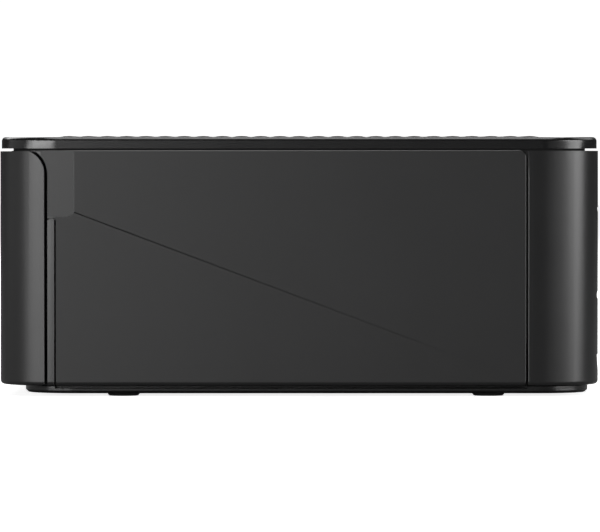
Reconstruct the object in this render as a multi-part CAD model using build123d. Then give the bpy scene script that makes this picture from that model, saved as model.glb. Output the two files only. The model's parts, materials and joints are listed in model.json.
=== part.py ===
from build123d import *
import math
import os

# Compact photo printer. Millimetres, +Z up, standing on z = 0.
# The front faces -Y, the ink door is on the +X side, and X runs along the print width.

# ---- outer case -------------------------------------------------------------------------------
WIDTH = 182.2
DEPTH = 133.0
HEIGHT = 57.6
CORNER_R = 13.0
WALL = 2.0
EDGE_ROUND = 0.9
FOOT_STAND = 0.75
SKIRT_Z = 2.5
LID_GAP = 0.5
LID_THICK = 2.8
LID_INSET = 0.3
LID_RIM_INSET = 2.9
LID_SKIN = 1.6
RIPPLE_PITCH = 4.25
RIPPLE_HEIGHT = 0.25
RIPPLE_LENGTH = 107.0
PIECE_GAP = 0.4
FLANGE_DEPTH = 4.6
FLANGE_THICK = 1.8
TAB_X = 40.0
TAB_Y = 30.0
TAB_WIDTH = 8.0
TAB_THICK = 1.2
TAB_CLEAR = 0.2
TAB_BITE = 0.7
TAB_HOOK = 1.2

# ---- front cover and ink door -----------------------------------------------------------------
COVER_WALL = 2.0
COVER_WRAP = 10.4
COVER_TOP_GAP = 0.6
COVER_ARC_R = 5.4
COVER_ARC_DROP = 5.0
CORE_GAP = 0.5
HINGE_Z = 5.2
HINGE_SET_BACK = 2.6
HINGE_PIN_R = 0.8
RUN_FIT = 0.06
PRESS_FIT = 0.02
TONGUE_R = 1.4
TONGUE_WIDTH = 5.0
EAR_THICK = 2.0
EAR_R = 2.0
EAR_GAP = 0.4
POCKET_FLOOR = 1.0
HINGE_STEP = 3.1
HINGE_ZONE_TOP = 12.0
HINGE_RELIEF = 1.1
COVER_HINGE_INSET = 18.6
DOOR_WALL = 2.1
DOOR_FRONT_INSET = 12.9
DOOR_REAR_INSET = 16.5
DOOR_CORNER_R = 1.7
DOOR_TOP_GAP = 0.4
TAB_BOTTOM = 39.5
PAD_REACH = 3.9
PAD_RISE = 0.3
PAD_STEP = 0.15
PAD_TILT = 2.5
PAD_CORNER_R = 1.3
OUTLINE_BREAK = 0.25
SLIVER_GAP = 0.6
DOOR_HINGE_INSET = (7.6, 8.0)

# ---- base tray and feet -----------------------------------------------------------------------
TRAY_INSET_SIDE = 1.8
TRAY_INSET_FRONT = 5.6
TRAY_INSET_REAR = 2.3
TRAY_BREAK = 0.6
TRAY_BAND_TOP = 2.3
TRAY_BAND_UNDER_DOOR = 1.8
TRAY_FLOOR = 1.8
TRAY_RIM_THICK = 1.5
TRAY_RIM_TOP = 7.0
TRAY_RIM_GAP = 0.25
TRAY_VENT_SHIFT = 8.0
TRAY_VENT_HALF = 20.0
FOOT_INSET_SIDE = 12.1
FOOT_INSET = (27.5, 24.5)
FOOT_SIZE = (12.0, 7.0)
FOOT_SEAT = 0.5
SCREW_INSET_SIDE = 11.1
SCREW_INSET = (19.5, 14.5)
SCREW_R = 1.25
SCREW_HEAD_R = 2.4
SCREW_HEAD_THICK = 1.2
SCREW_LENGTH = 11.0
BOSS_R = 3.2
BOSS_BOTTOM = 3.4

# ---- rear face --------------------------------------------------------------------------------
REAR_GROOVE_INSET = 9.1
REAR_GROOVE_DEPTH = 0.35
REAR_SEAM_Z = (40.4, 41.7)
REAR_LIP_Z = (21.3, 23.3)
REAR_STEP_Z = (4.8, 9.1)
VENT_COUNT = 8
VENT_PITCH = 3.0
VENT_WIDTH = 1.5
VENT_Z = (28.0, 38.5)

# ---- paper path -------------------------------------------------------------------------------
DRIVE_BAY = 36.1
DOOR_BAY = 24.1
PAPER_Z = 17.5
PAPER_BESIDE = 11.0
PORT_INSET = 3.0
PORT_Z = (5.5, 33.0)
SLOT_INSET = 7.0
SLOT_Z = (14.8, 20.6)
PLATE_THICK = 1.2
PLATE_INSET = (29.5, 8.5)
PLATE_FOOT_GAP = 16.0
PLATE_FOOT_TOP = 10.0
PLATE_TOP = 47.0
BRIDGE_Y = (-19.0, 46.0)
BRIDGE_EDGE = 3.0
BRIDGE_LIP = 0.8
BRIDGE_WINDOWS = 5
BRIDGE_WINDOW = (12.0, 40.0)
BRIDGE_WINDOW_PITCH = 20.0
PLATEN_Y = 10.0
PLATEN_R = 5.5
PLATEN_CORE_R = 3.0
CAPSTAN_Y = -31.0
CAPSTAN_R = 3.3
PINCH_R = 3.2
PINCH_LIFT = 0.25
PINCH_PITCH = 36.0
PINCH_HALF = 14.0
SHAFT_R = 2.0
PINCH_SHAFT_R = 1.5
BUSH_R = 4.0
BUSH_FLANGE_R = 5.2
BUSH_FLANGE = 0.8
END_PLAY = 0.3
DECK_THICK = 2.2
DECK_BELOW_PAPER = 0.5
DECK_ROLLER_GAP = 1.0
DECK_RIBS = 9
DECK_RIB_PITCH = 11.5
PICK_ARM_PIVOT = (-30.0, 36.0)
PICK_ROLLER_R = 6.0
PICK_ROLLER_AT = (-46.0, 25.5)
PICK_ROLLER_WIDTH = 14.0
PICK_ARM_THICK = 2.0
PICK_SHAFT_R = 1.5

# ---- thermal head -----------------------------------------------------------------------------
HEAD_WIDTH = 10.0
HEAD_RAISED_Z = 24.2
HEAD_TRAVEL = 6.0
HEAD_PLATE_THICK = 2.0
HEAD_BASE_THICK = 3.0
HEAD_FIN_TOP = 42.0
HEAD_FIN_COUNT = 4
HEAD_FIN_THICK = 1.2
HEAD_PIN_R = 1.5
HEAD_PIN_Z = (33.5, 40.5)
HEAD_CHEEK_THICK = 1.5
HEAD_CHEEK_GAP = 2.5
HEAD_RAIL_GAP = 0.3
HEAD_BEYOND_PAPER = 2.6
HEAD_BEAD_R = 0.9
LIFT_SHAFT_Z = 37.0
LIFT_SHAFT_R = 1.5
RACK_THICK = 2.2
RACK_BACK = 2.6

# ---- ink cassette -----------------------------------------------------------------------------
SPOOL_Z = 33.0
SUPPLY_Y = 36.0
TAKEUP_Y = -11.0
SUPPLY_TUBE_R = 13.0
TAKEUP_TUBE_R = 10.0
TUBE_WALL = 1.2
CASSETTE_PLATE_GAP = 3.0
CASSETTE_WALL_GAP = 4.0
CASSETTE_END = 4.0
CASSETTE_CAP = 3.0
CASSETTE_RAIL_Z = (19.6, 23.2)
CASSETTE_RAIL_THICK = 3.0
FLANGE_REACH = 2.6
SPOOL_CORE_R = 5.0
SPOOL_FLANGE_R = 8.0
SPOOL_GAP = 0.35
SUPPLY_ROLL_R = 11.2
TAKEUP_ROLL_R = 6.2
BAY_GAP = 0.8
SPINDLE_R = 2.9
SPINDLE_SHAFT_R = 2.0
SPINDLE_DEPTH = 9.0
SPINDLE_FLAT = 2.1

# ---- gears and motors -------------------------------------------------------------------------
MODULE = 0.6
GEAR_THICK = 3.0
GEAR_LAYER_GAP = 0.6
BACKLASH = 0.12
PRESSURE_ANGLE = 20.0
CAPSTAN_TEETH = 32
REDUCER_BIG_TEETH = 40
REDUCER_SMALL_TEETH = 14
PINION_TEETH = 14
SPINDLE_TEETH = 30
LIFT_TEETH = 14
REDUCER_ANGLE = 60.0
FEED_MOTOR_ANGLE = 160.0
RIBBON_MOTOR_ANGLE = 0.0
FEED_MOTOR_R = 10.0
FEED_MOTOR_LENGTH = 19.0
RIBBON_MOTOR_R = 7.5
RIBBON_MOTOR_LENGTH = 16.0
MOTOR_SHAFT_R = 1.0
MOTOR_BOSS_R = 3.0
BRACKET_THICK = 1.2
BRACKET_GAP = 0.8
BRACKET_WINDOWS = 3
BRACKET_WINDOW = (12.0, 8.0)
BRACKET_WINDOW_PITCH = 16.5
BRACKET_WINDOW_Z = 12.0

# ---- screen and keys --------------------------------------------------------------------------
SCREEN_KEY_GAP = 8.5
SCREEN_Y = 1.0
WINDOW_SIZE = (88.0, 66.0)
WINDOW_THICK = 1.1
WINDOW_FIT = 0.15
WINDOW_R = 3.0
VIEW_INSET = (8.5, 6.25)
MODULE_INSET = (4.0, 2.0)
SCREEN_THICK = 3.0
SCREEN_GAP = 0.2
SCREEN_SINK = 0.3
KEY_INSET = 35.1
KEY_Y = 3.0
KEY_FIT = 0.25
KEY_DROP = 0.1
KEY_BREAK = 0.25
KEY_TRAVEL = 0.6
KEY_FLANGE = 0.8
KEY_FLANGE_THICK = 0.7
KEY_STEM_R = 1.1
KEY_STEM_LENGTH = 1.8
KEY_REST_GAP = 0.15
SWITCH_GAP = 0.2
SWITCH_SIZE = 4.0
SWITCH_THICK = 1.2
SWITCH_CAP = 0.3
KEY_BOARD_THICK = 1.2
KEY_BOARD_MARGIN = 4.0
OK_R = 6.0
ARROW_R = (8.5, 14.5)
ARROW_SWEEP = 74.0
SIDE_KEY_SIZE = (13.0, 6.5)
SIDE_KEY_PITCH = 28.0
SIDE_KEY_ROW = 23.0
POWER_R = 5.0
POWER_ROW = 39.1
POST_R = 1.8

# ---- eject lever ------------------------------------------------------------------------------
LEVER_INSET = 11.6
LEVER_Y = -30.0
LEVER_PIN_R = 1.5
LEVER_HUB_R = 3.0
LEVER_Z = (28.0, 34.0)
LEVER_TIP_Y = -23.2
LEVER_ARM_THICK = 2.2
LEVER_PAD_Y = (-38.0, -33.0)
LEVER_SLOT_GAP = 2.4
LEVER_SLOT_GAP_Z = 0.8
LEVER_BRACKET_THICK = 1.5

# ---- fan, boards and sockets ------------------------------------------------------------------
FAN_SIZE = 22.0
FAN_THICK = 7.0
FAN_INSET = 22.6
FAN_Z = 33.2
FAN_BORE_R = 10.0
FAN_HUB_R = 4.5
FAN_TIP_GAP = 0.6
FAN_BLADES = 7
FAN_BLADE_THICK = 1.0
FAN_BLADE_TWIST = 38.0
FAN_STRUT = 1.6
FAN_HOLE_INSET = 2.6
FAN_HOLE_R = 1.3
BOARD_THICK = 1.6
BOARD_Z = 5.2
BOARD_POST_R = 2.0
MAIN_BOARD_GAP = 5.0
MAIN_BOARD_INSET = (47.5, 5.5)
IO_BOARD_INSET = (4.5, 24.1)
IO_BOARD_Y = (-18.0, 42.0)
DC_BESIDE_PLATE = 19.0
DC_SIZE = (9.0, 13.0, 7.0)
DC_BORE_R = 2.8
DC_PIN_R = 0.8
USB_Y = 28.0
USB_SIZE = (14.0, 13.2, 5.8)
CARD_Y = -2.0
CARD_SIZE = (18.0, 27.0, 2.6)
CARD_SLOT = (24.6, 2.2)
CHIP_THICK = 1.4
CAPACITOR_R = 3.0
CAPACITOR_TALL = 5.5
HEADER_TALL = 3.2
SOCKET_PLAY = 0.3
SOCKET_WALL = 0.6

# ---- values worked out from those above --------------------------------------------------------
HALF_W = WIDTH / 2
HALF_D = DEPTH / 2
LID_UNDER = HEIGHT - LID_THICK
BODY_TOP = LID_UNDER - LID_GAP
COVER_TOP = LID_UNDER - COVER_TOP_GAP
COVER_REAR = COVER_WRAP - HALF_D
COVER_HINGE_X = HALF_W - COVER_HINGE_INSET
DOOR_FRONT = DOOR_FRONT_INSET - HALF_D
DOOR_REAR = HALF_D - DOOR_REAR_INSET
DOOR_HINGE_Y = (DOOR_FRONT + DOOR_HINGE_INSET[0], DOOR_REAR - DOOR_HINGE_INSET[1])
FOOT_X = HALF_W - FOOT_INSET_SIDE
FOOT_Y = (FOOT_INSET[0] - HALF_D, HALF_D - FOOT_INSET[1])
SCREW_X = HALF_W - SCREW_INSET_SIDE
SCREW_Y = (SCREW_INSET[0] - HALF_D, HALF_D - SCREW_INSET[1])
REAR_GROOVE_HALF = HALF_W - REAR_GROOVE_INSET
CORE_INSET = COVER_WALL + CORE_GAP
CORE_WALL = CORE_INSET + WALL
SIDE_FACE = COVER_REAR + SLIVER_GAP
COVER_AXIS_Y = HINGE_SET_BACK - HALF_D
DOOR_AXIS_X = HALF_W - HINGE_SET_BACK
DOOR_TOP = LID_UNDER - DOOR_TOP_GAP
RECESS_X = HALF_W - DOOR_WALL - PIECE_GAP
RECESS_INNER = RECESS_X - WALL
FLOOR_Z = FOOT_STAND + TRAY_FLOOR
PLATE_LEFT = DRIVE_BAY - HALF_W
PLATE_RIGHT = HALF_W - DOOR_BAY
PLATE_Y = (PLATE_INSET[0] - HALF_D, HALF_D - PLATE_INSET[1])
PRINT_X = (PLATE_LEFT + PLATE_RIGHT) / 2
PORT_X = (PLATE_LEFT + PORT_INSET, PLATE_RIGHT - PORT_INSET)
SLOT_X = (PLATE_LEFT + SLOT_INSET, PLATE_RIGHT - SLOT_INSET)
CAPSTAN_Z = PAPER_Z - CAPSTAN_R
PLATEN_Z = PAPER_Z - PLATEN_R
PINCH_Z = PAPER_Z + PINCH_LIFT + PINCH_R
PAPER_LEFT = PLATE_LEFT + PAPER_BESIDE
PAPER_RIGHT = PLATE_RIGHT - PAPER_BESIDE
CASSETTE_LEFT = PLATE_LEFT + CASSETTE_PLATE_GAP
CASSETTE_RIGHT = RECESS_X - CASSETTE_WALL_GAP
GEAR_A_RIGHT = PLATE_LEFT - PLATE_THICK - BUSH_FLANGE - END_PLAY
GEAR_A_LEFT = GEAR_A_RIGHT - GEAR_THICK
GEAR_B_RIGHT = GEAR_A_LEFT - GEAR_LAYER_GAP
GEAR_B_LEFT = GEAR_B_RIGHT - GEAR_THICK
BRACKET_RIGHT = GEAR_B_LEFT - BRACKET_GAP
BRACKET_LEFT = BRACKET_RIGHT - BRACKET_THICK
TAB_LOW = BODY_TOP - FLANGE_THICK - TAB_CLEAR - TAB_HOOK
LID_SKIN_DROP = LID_THICK - RIPPLE_HEIGHT - LID_SKIN
KEY_LOW = LID_UNDER + LID_SKIN_DROP - KEY_REST_GAP - KEY_FLANGE_THICK - KEY_STEM_LENGTH
SWITCH_TOP = KEY_LOW - KEY_TRAVEL - SWITCH_GAP
KEY_BOARD_TOP = SWITCH_TOP - SWITCH_THICK
BRIDGE_TOP = PLATE_TOP + PLATE_THICK
BOARD_TOP = BOARD_Z + BOARD_THICK
DECK_TOP = PAPER_Z - DECK_BELOW_PAPER
KEY_X = HALF_W - KEY_INSET
KEY_BOARD_HALF = SIDE_KEY_PITCH / 2 + SIDE_KEY_SIZE[0] / 2 + KEY_BOARD_MARGIN
SCREEN_X = KEY_X - KEY_BOARD_HALF - SCREEN_KEY_GAP - WINDOW_SIZE[0] / 2
LEVER_PIVOT = (HALF_W - LEVER_INSET, LEVER_Y)
FAN_X = FAN_INSET - HALF_W
MAIN_BOARD_X = (PLATE_LEFT + MAIN_BOARD_GAP, PLATE_RIGHT - MAIN_BOARD_GAP)
MAIN_BOARD_Y = (HALF_D - MAIN_BOARD_INSET[0], HALF_D - MAIN_BOARD_INSET[1])
IO_BOARD_X = (IO_BOARD_INSET[0] - HALF_W, IO_BOARD_INSET[1] - HALF_W)
DC_X = PLATE_RIGHT - DC_BESIDE_PLATE


def polar(origin, angle, length):
    """A point at a length and an angle in degrees from an origin, both in the YZ plane."""
    turn = math.radians(angle)
    return (origin[0] + length * math.cos(turn), origin[1] + length * math.sin(turn))


def pitch_radius(teeth):
    return MODULE * teeth / 2


CAPSTAN_AT = (CAPSTAN_Y, CAPSTAN_Z)
TAKEUP_AT = (TAKEUP_Y, SPOOL_Z)
SUPPLY_AT = (SUPPLY_Y, SPOOL_Z)
REDUCER_AT = polar(
    CAPSTAN_AT, REDUCER_ANGLE, pitch_radius(CAPSTAN_TEETH) + pitch_radius(REDUCER_SMALL_TEETH)
)
FEED_MOTOR_AT = polar(
    REDUCER_AT, FEED_MOTOR_ANGLE, pitch_radius(REDUCER_BIG_TEETH) + pitch_radius(PINION_TEETH)
)
RIBBON_MOTOR_AT = polar(
    TAKEUP_AT, RIBBON_MOTOR_ANGLE, pitch_radius(SPINDLE_TEETH) + pitch_radius(PINION_TEETH)
)
HEAD_LOW_SPAN = (PAPER_LEFT - HEAD_BEYOND_PAPER, PAPER_RIGHT + HEAD_BEYOND_PAPER)
HEAD_CHEEK_LOW = CASSETTE_RAIL_Z[1] + HEAD_TRAVEL + HEAD_RAIL_GAP
HEAD_FRONT = PLATEN_Y - HEAD_WIDTH / 2
HEAD_REAR = PLATEN_Y + HEAD_WIDTH / 2
RACK_LINE = PLATEN_Y + RACK_BACK
LIFT_SHAFT_Y = RACK_LINE + pitch_radius(LIFT_TEETH)

SAVED = []


def save(name, shape):
    """Write one sub-part and note how many solids it holds."""
    export_step(shape, f"parts/{name}.step")
    SAVED.append((name, len(shape.solids())))


# ---- plain shapes -----------------------------------------------------------------------------
def block(x, y, z):
    """A box between the two ends given for each axis."""
    centre = Pos((x[0] + x[1]) / 2, (y[0] + y[1]) / 2, (z[0] + z[1]) / 2)
    return centre * Box(abs(x[1] - x[0]), abs(y[1] - y[0]), abs(z[1] - z[0]))


def rod_x(x, at, radius):
    """A cylinder along X between two ends, at a (y, z) place."""
    return extrude(Plane.YZ.offset(min(x)) * Pos(*at) * Circle(radius), abs(x[1] - x[0]))


def rod_y(y, at, radius):
    """A cylinder along Y between two ends, at an (x, z) place."""
    return extrude(Plane.XZ.offset(-max(y)) * Pos(*at) * Circle(radius), abs(y[1] - y[0]))


def rod_z(z, at, radius):
    """A cylinder along Z between two ends, at an (x, y) place."""
    return extrude(Plane.XY.offset(min(z)) * Pos(*at) * Circle(radius), abs(z[1] - z[0]))


def corners(across, up):
    """The four corners of a rectangle, in turn."""
    return [(across[0], up[0]), (across[1], up[0]), (across[1], up[1]), (across[0], up[1])]


def tube_x(x, at, outer, inner):
    return rod_x(x, at, outer) - rod_x((min(x) - 1, max(x) + 1), at, inner)


def prism_x(x, points, radii=0.0):
    """A closed outline of (y, z) points, its corners rounded, drawn out along X."""
    line = FilletPolyline(*points, radius=radii, close=True)
    return extrude(Plane.YZ.offset(min(x)) * make_face(line), abs(x[1] - x[0]))


def prism_y(y, points, radii=0.0):
    """A closed outline of (x, z) points, its corners rounded, drawn out along Y."""
    line = FilletPolyline(*points, radius=radii, close=True)
    return extrude(Plane.XZ.offset(-max(y)) * make_face(line), abs(y[1] - y[0]))


def prism_z(z, points, radii=0.0):
    """A closed outline of (x, y) points, its corners rounded, drawn out along Z."""
    line = FilletPolyline(*points, radius=radii, close=True)
    return extrude(Plane.XY.offset(min(z)) * make_face(line), abs(z[1] - z[0]))


def plate_z(z, at, size, radius):
    """A rounded rectangle about an (x, y) place, drawn out along Z."""
    return extrude(
        Plane.XY.offset(min(z)) * Pos(*at) * RectangleRounded(*size, radius), abs(z[1] - z[0])
    )


def mirrored(shape):
    return mirror(shape, about=Plane.YZ)


def case_slab(inset, z, rounded=0.0):
    """The printer's outline, drawn in by an inset, between two heights."""
    outline = RectangleRounded(WIDTH - 2 * inset, DEPTH - 2 * inset, CORNER_R - inset)
    slab = extrude(Plane.XY.offset(z[0]) * outline, z[1] - z[0])
    if rounded:
        slab = fillet(slab.edges().group_by(Axis.Z)[0], rounded)
    return slab


def in_front(y, z=(-1.0, HEIGHT + 1)):
    return block((-WIDTH, WIDTH), (-DEPTH, y), z)


# ---- toothed wheels ---------------------------------------------------------------------------
def involute(angle):
    return math.tan(angle) - angle


def tooth_half_angle(teeth, radius):
    """Half the angle that one tooth fills at a radius, with its share of the backlash."""
    pitch = pitch_radius(teeth)
    base = pitch * math.cos(math.radians(PRESSURE_ANGLE))
    at_pitch = math.pi / (2 * teeth) - BACKLASH / (2 * pitch)
    roll = math.acos(min(1.0, base / radius))
    return at_pitch + involute(math.radians(PRESSURE_ANGLE)) - involute(roll)


def gear(teeth, at, x, tooth_at=0.0, bore=0.0):
    """A spur gear on an axis along X, with the middle of one tooth at an angle in degrees."""
    pitch = pitch_radius(teeth)
    radii = (pitch - 1.25 * MODULE, pitch, pitch + 0.9 * MODULE)
    points = []
    for tooth in range(teeth):
        middle = math.radians(tooth_at) + 2 * math.pi * tooth / teeth
        flank = [(radius, tooth_half_angle(teeth, radius)) for radius in radii]
        rise = [(radius, middle - half) for radius, half in flank]
        fall = [(radius, middle + half) for radius, half in reversed(flank)]
        for radius, angle in rise + fall:
            points.append((radius * math.cos(angle), radius * math.sin(angle)))
    outline = Polyline(*points, close=True)
    wheel = extrude(Plane.YZ.offset(min(x)) * Pos(*at) * make_face(outline), abs(x[1] - x[0]))
    return wheel - rod_x((min(x) - 1, max(x) + 1), at, bore) if bore else wheel


def mesh_angle(teeth, tooth_at, towards, other_teeth):
    """Where the next gear's tooth stands, so that it meshes in the direction towards it."""
    slip = towards - tooth_at
    return towards + 180 + 180 / other_teeth + slip * teeth / other_teeth


# ---- outer shells -----------------------------------------------------------------------------
def door_outline(x, gap=0.0):
    """The ink door as seen from its side, with its tab over the front cover's round corner."""
    arc_y = COVER_REAR - COVER_ARC_R
    arc_z = COVER_TOP - COVER_ARC_DROP
    front = DOOR_FRONT - gap
    tab = SIDE_FACE - gap
    points = [
        (front, SKIRT_Z - 5 * gap),
        (DOOR_REAR + gap, SKIRT_Z - 5 * gap),
        (DOOR_REAR + gap, DOOR_TOP + 5 * gap),
        (arc_y, DOOR_TOP + 5 * gap),
        (arc_y, TAB_BOTTOM - gap),
        (front, TAB_BOTTOM - gap),
    ]
    sheet = prism_x(x, points, [0, 0, DOOR_CORNER_R + gap, 0, 0, 0])
    below = block(x, (tab - COVER_WRAP, tab), (0, arc_z))
    corner = rod_x(x, (arc_y, arc_z), COVER_ARC_R + SLIVER_GAP - gap)
    return sheet - below - corner


def front_cover():
    """The port cover: a thin shell round both front corners, hinged at its lower edge."""
    shell = case_slab(0, (SKIRT_Z, COVER_TOP), EDGE_ROUND)
    shell -= case_slab(COVER_WALL, (0, HEIGHT))
    shell &= in_front(COVER_REAR)
    arc_y = COVER_REAR - COVER_ARC_R
    arc_z = COVER_TOP - COVER_ARC_DROP
    above = block((-WIDTH, WIDTH), (arc_y, COVER_REAR + 1), (arc_z, HEIGHT))
    shell -= above - rod_x((-WIDTH, WIDTH), (arc_y, arc_z), COVER_ARC_R)
    round_y, round_z = COVER_REAR - EDGE_ROUND, SKIRT_Z + EDGE_ROUND
    foot = block((-WIDTH, WIDTH), (round_y, COVER_REAR + 1), (0, round_z))
    shell -= foot - rod_x((-WIDTH, WIDTH), (round_y, round_z), EDGE_ROUND)
    inner = COVER_WALL - HALF_D
    axis = (COVER_AXIS_Y, HINGE_Z)
    inner_x, outer_x = hinge_ear_span()
    pocket_half = TONGUE_WIDTH / 2 + EAR_GAP
    for side in (-1, 1):
        ear_x = (side * inner_x, side * outer_x)
        ear = rod_x(ear_x, axis, EAR_R)
        ear += block(ear_x, (inner - 0.5, COVER_AXIS_Y), (HINGE_Z - EAR_R, HINGE_Z + EAR_R))
        shell += ear
        pocket_x = (side * COVER_HINGE_X - pocket_half, side * COVER_HINGE_X + pocket_half)
        shell -= block(pocket_x, (POCKET_FLOOR - HALF_D, inner + 1), (0, HINGE_Z + 4 * TONGUE_R))
        shell -= rod_x((side * (inner_x - 1), side * (outer_x + 1)), axis, HINGE_PIN_R + RUN_FIT)
    return shell


def hinge_ear_span():
    inner = COVER_HINGE_X + TONGUE_WIDTH / 2 + EAR_GAP
    return inner, inner + EAR_THICK


def hinge_pins():
    """Steel pins, fixed in the casing's tongues, that the front cover and the ink door turn on."""
    pin_x = (COVER_HINGE_X - TONGUE_WIDTH / 2, hinge_ear_span()[1])
    pin = rod_x(pin_x, (COVER_AXIS_Y, HINGE_Z), HINGE_PIN_R)
    pins = [pin, mirrored(pin)]
    for y in DOOR_HINGE_Y:
        side = 1 if y > 0 else -1
        far = y + side * (TONGUE_WIDTH / 2 + EAR_GAP + EAR_THICK)
        pins.append(rod_y((y - side * TONGUE_WIDTH / 2, far), (DOOR_AXIS_X, HINGE_Z), HINGE_PIN_R))
    return Compound(pins)


def ink_door():
    """The side door: flat, with a tab that follows the front cover's corner and a finger pad."""
    shell = case_slab(0, (SKIRT_Z, DOOR_TOP), EDGE_ROUND) - case_slab(DOOR_WALL, (0, HEIGHT))
    shell &= door_outline((HALF_W - CORNER_R, HALF_W + 1))
    shell = chamfer(shell.faces().sort_by(Axis.X)[-1].edges(), OUTLINE_BREAK)
    shell -= finger_pad()
    inner = HALF_W - DOOR_WALL
    for y in DOOR_HINGE_Y:
        side = 1 if y > 0 else -1
        ear_near = y + side * (TONGUE_WIDTH / 2 + EAR_GAP)
        ear_y = (ear_near, ear_near + side * EAR_THICK)
        ear = rod_y(ear_y, (DOOR_AXIS_X, HINGE_Z), EAR_R)
        ear += block((DOOR_AXIS_X, inner + 0.5), ear_y, (HINGE_Z - EAR_R, HINGE_Z + EAR_R))
        shell += ear
        pocket_half = TONGUE_WIDTH / 2 + EAR_GAP
        pocket_y = (y - pocket_half, y + pocket_half)
        shell -= block((inner - 1, HALF_W - POCKET_FLOOR), pocket_y, (0, HINGE_Z + 4 * TONGUE_R))
        hole_y = (min(ear_y) - 1, max(ear_y) + 1)
        shell -= rod_y(hole_y, (DOOR_AXIS_X, HINGE_Z), HINGE_PIN_R + RUN_FIT)
    return shell


def finger_pad():
    """The shallow tilted pad cut into the door's tab, its lower rear corner rounded."""
    rear = DOOR_FRONT + PAD_REACH
    front = DOOR_FRONT - COVER_WRAP
    low = TAB_BOTTOM + PAD_RISE
    fall = (rear - front) * math.tan(math.radians(PAD_TILT))
    floor = [
        (HALF_W - PAD_STEP, rear),
        (HALF_W - PAD_STEP - fall, front),
        (HALF_W + 1, front),
        (HALF_W + 1, rear),
    ]
    outline = corners((front, rear), (low, HEIGHT))
    x = (HALF_W - DOOR_WALL, HALF_W + 1)
    return prism_z((low, HEIGHT), floor) & prism_x(x, outline, [0, PAD_CORNER_R, 0, 0])


def cassette_profile(x, gap):
    """The ink cassette's end shape grown by a gap: two tubes joined by a low rail."""
    shape = rod_x(x, SUPPLY_AT, SUPPLY_TUBE_R + gap) + rod_x(x, TAKEUP_AT, TAKEUP_TUBE_R + gap)
    rail_z = (CASSETTE_RAIL_Z[0] - gap, CASSETTE_RAIL_Z[1] + gap)
    shape += block(x, (TAKEUP_Y - gap, SUPPLY_Y), rail_z)
    return shape + block(x, (TAKEUP_Y, TAKEUP_Y + TAKEUP_TUBE_R + gap), (rail_z[1] - 1, rail_z[1] + 2))


def body_shell():
    """The middle casing: side and rear walls, the front frame and the door's recess."""
    low, high = SKIRT_Z, BODY_TOP
    shell = case_slab(0, (low, high), EDGE_ROUND) - in_front(SIDE_FACE)
    core = case_slab(CORE_INSET, (low, high))
    hinge_back = COVER_AXIS_Y + HINGE_STEP
    zone = (0, HINGE_ZONE_TOP)
    core -= in_front(hinge_back, zone)
    corner = in_front(SIDE_FACE, zone) - case_slab(CORE_INSET + HINGE_RELIEF, zone)
    shell += core - corner
    # room for the ink door and its tab
    outside = case_slab(-2, (0, HEIGHT)) - case_slab(CORE_INSET, (0, HEIGHT))
    shell -= outside & door_outline((HALF_W - CORNER_R, HALF_W + 1), PIECE_GAP)
    door_y = (DOOR_FRONT - PIECE_GAP, DOOR_REAR + PIECE_GAP)
    shell -= block((DOOR_AXIS_X - HINGE_STEP, WIDTH), door_y, zone)
    shell -= body_hollow()
    shell += top_flange() + hinge_tongues() + screw_bosses()
    shell -= port_cut() + rear_slot_cut() + rear_grooves() + ink_bay_cut() + socket_cuts() + vents()
    for at in boss_places():
        shell -= rod_z((BOSS_BOTTOM - 1, BOSS_BOTTOM + SCREW_LENGTH), at, SCREW_R + PRESS_FIT)
    for tab_x, tab_y in tab_hooks(TRAY_RIM_GAP):
        shell -= block(tab_x, tab_y, (TAB_LOW - TRAY_RIM_GAP, TAB_LOW + TAB_HOOK + 0.1))
    return shell + lever_bracket()


def body_hollow():
    """The inside of the casing, with walls left round the door's recess and the front frame."""
    span = (0, HEIGHT)
    narrow = case_slab(CORE_WALL, span)
    wide = case_slab(WALL, span) - in_front(CORNER_R - HALF_D)
    recess = block((RECESS_INNER, WIDTH), (-DEPTH, DOOR_REAR + PIECE_GAP + WALL), span)
    hollow = narrow + (wide - recess)
    # thicker near the hinges, where the walls stand back
    front_wall = in_front(COVER_AXIS_Y + HINGE_STEP + WALL, (0, HINGE_ZONE_TOP + WALL))
    side_wall = block(
        (DOOR_AXIS_X - HINGE_STEP - WALL, WIDTH),
        (DOOR_FRONT - PIECE_GAP - WALL, DOOR_REAR + PIECE_GAP + WALL),
        (0, HINGE_ZONE_TOP + WALL),
    )
    return hollow - front_wall - side_wall


def top_flange():
    """The inward flange that the top cover's rim rests on."""
    z = (BODY_TOP - FLANGE_THICK, BODY_TOP)
    ring = case_slab(WALL / 2, z) - case_slab(FLANGE_DEPTH, (0, HEIGHT))
    outside = case_slab(-2, (0, HEIGHT)) - case_slab(CORE_INSET, (0, HEIGHT))
    ring -= in_front(SIDE_FACE) & outside
    return ring - (outside & door_outline((HALF_W - CORNER_R, HALF_W + 1), PIECE_GAP))


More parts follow.
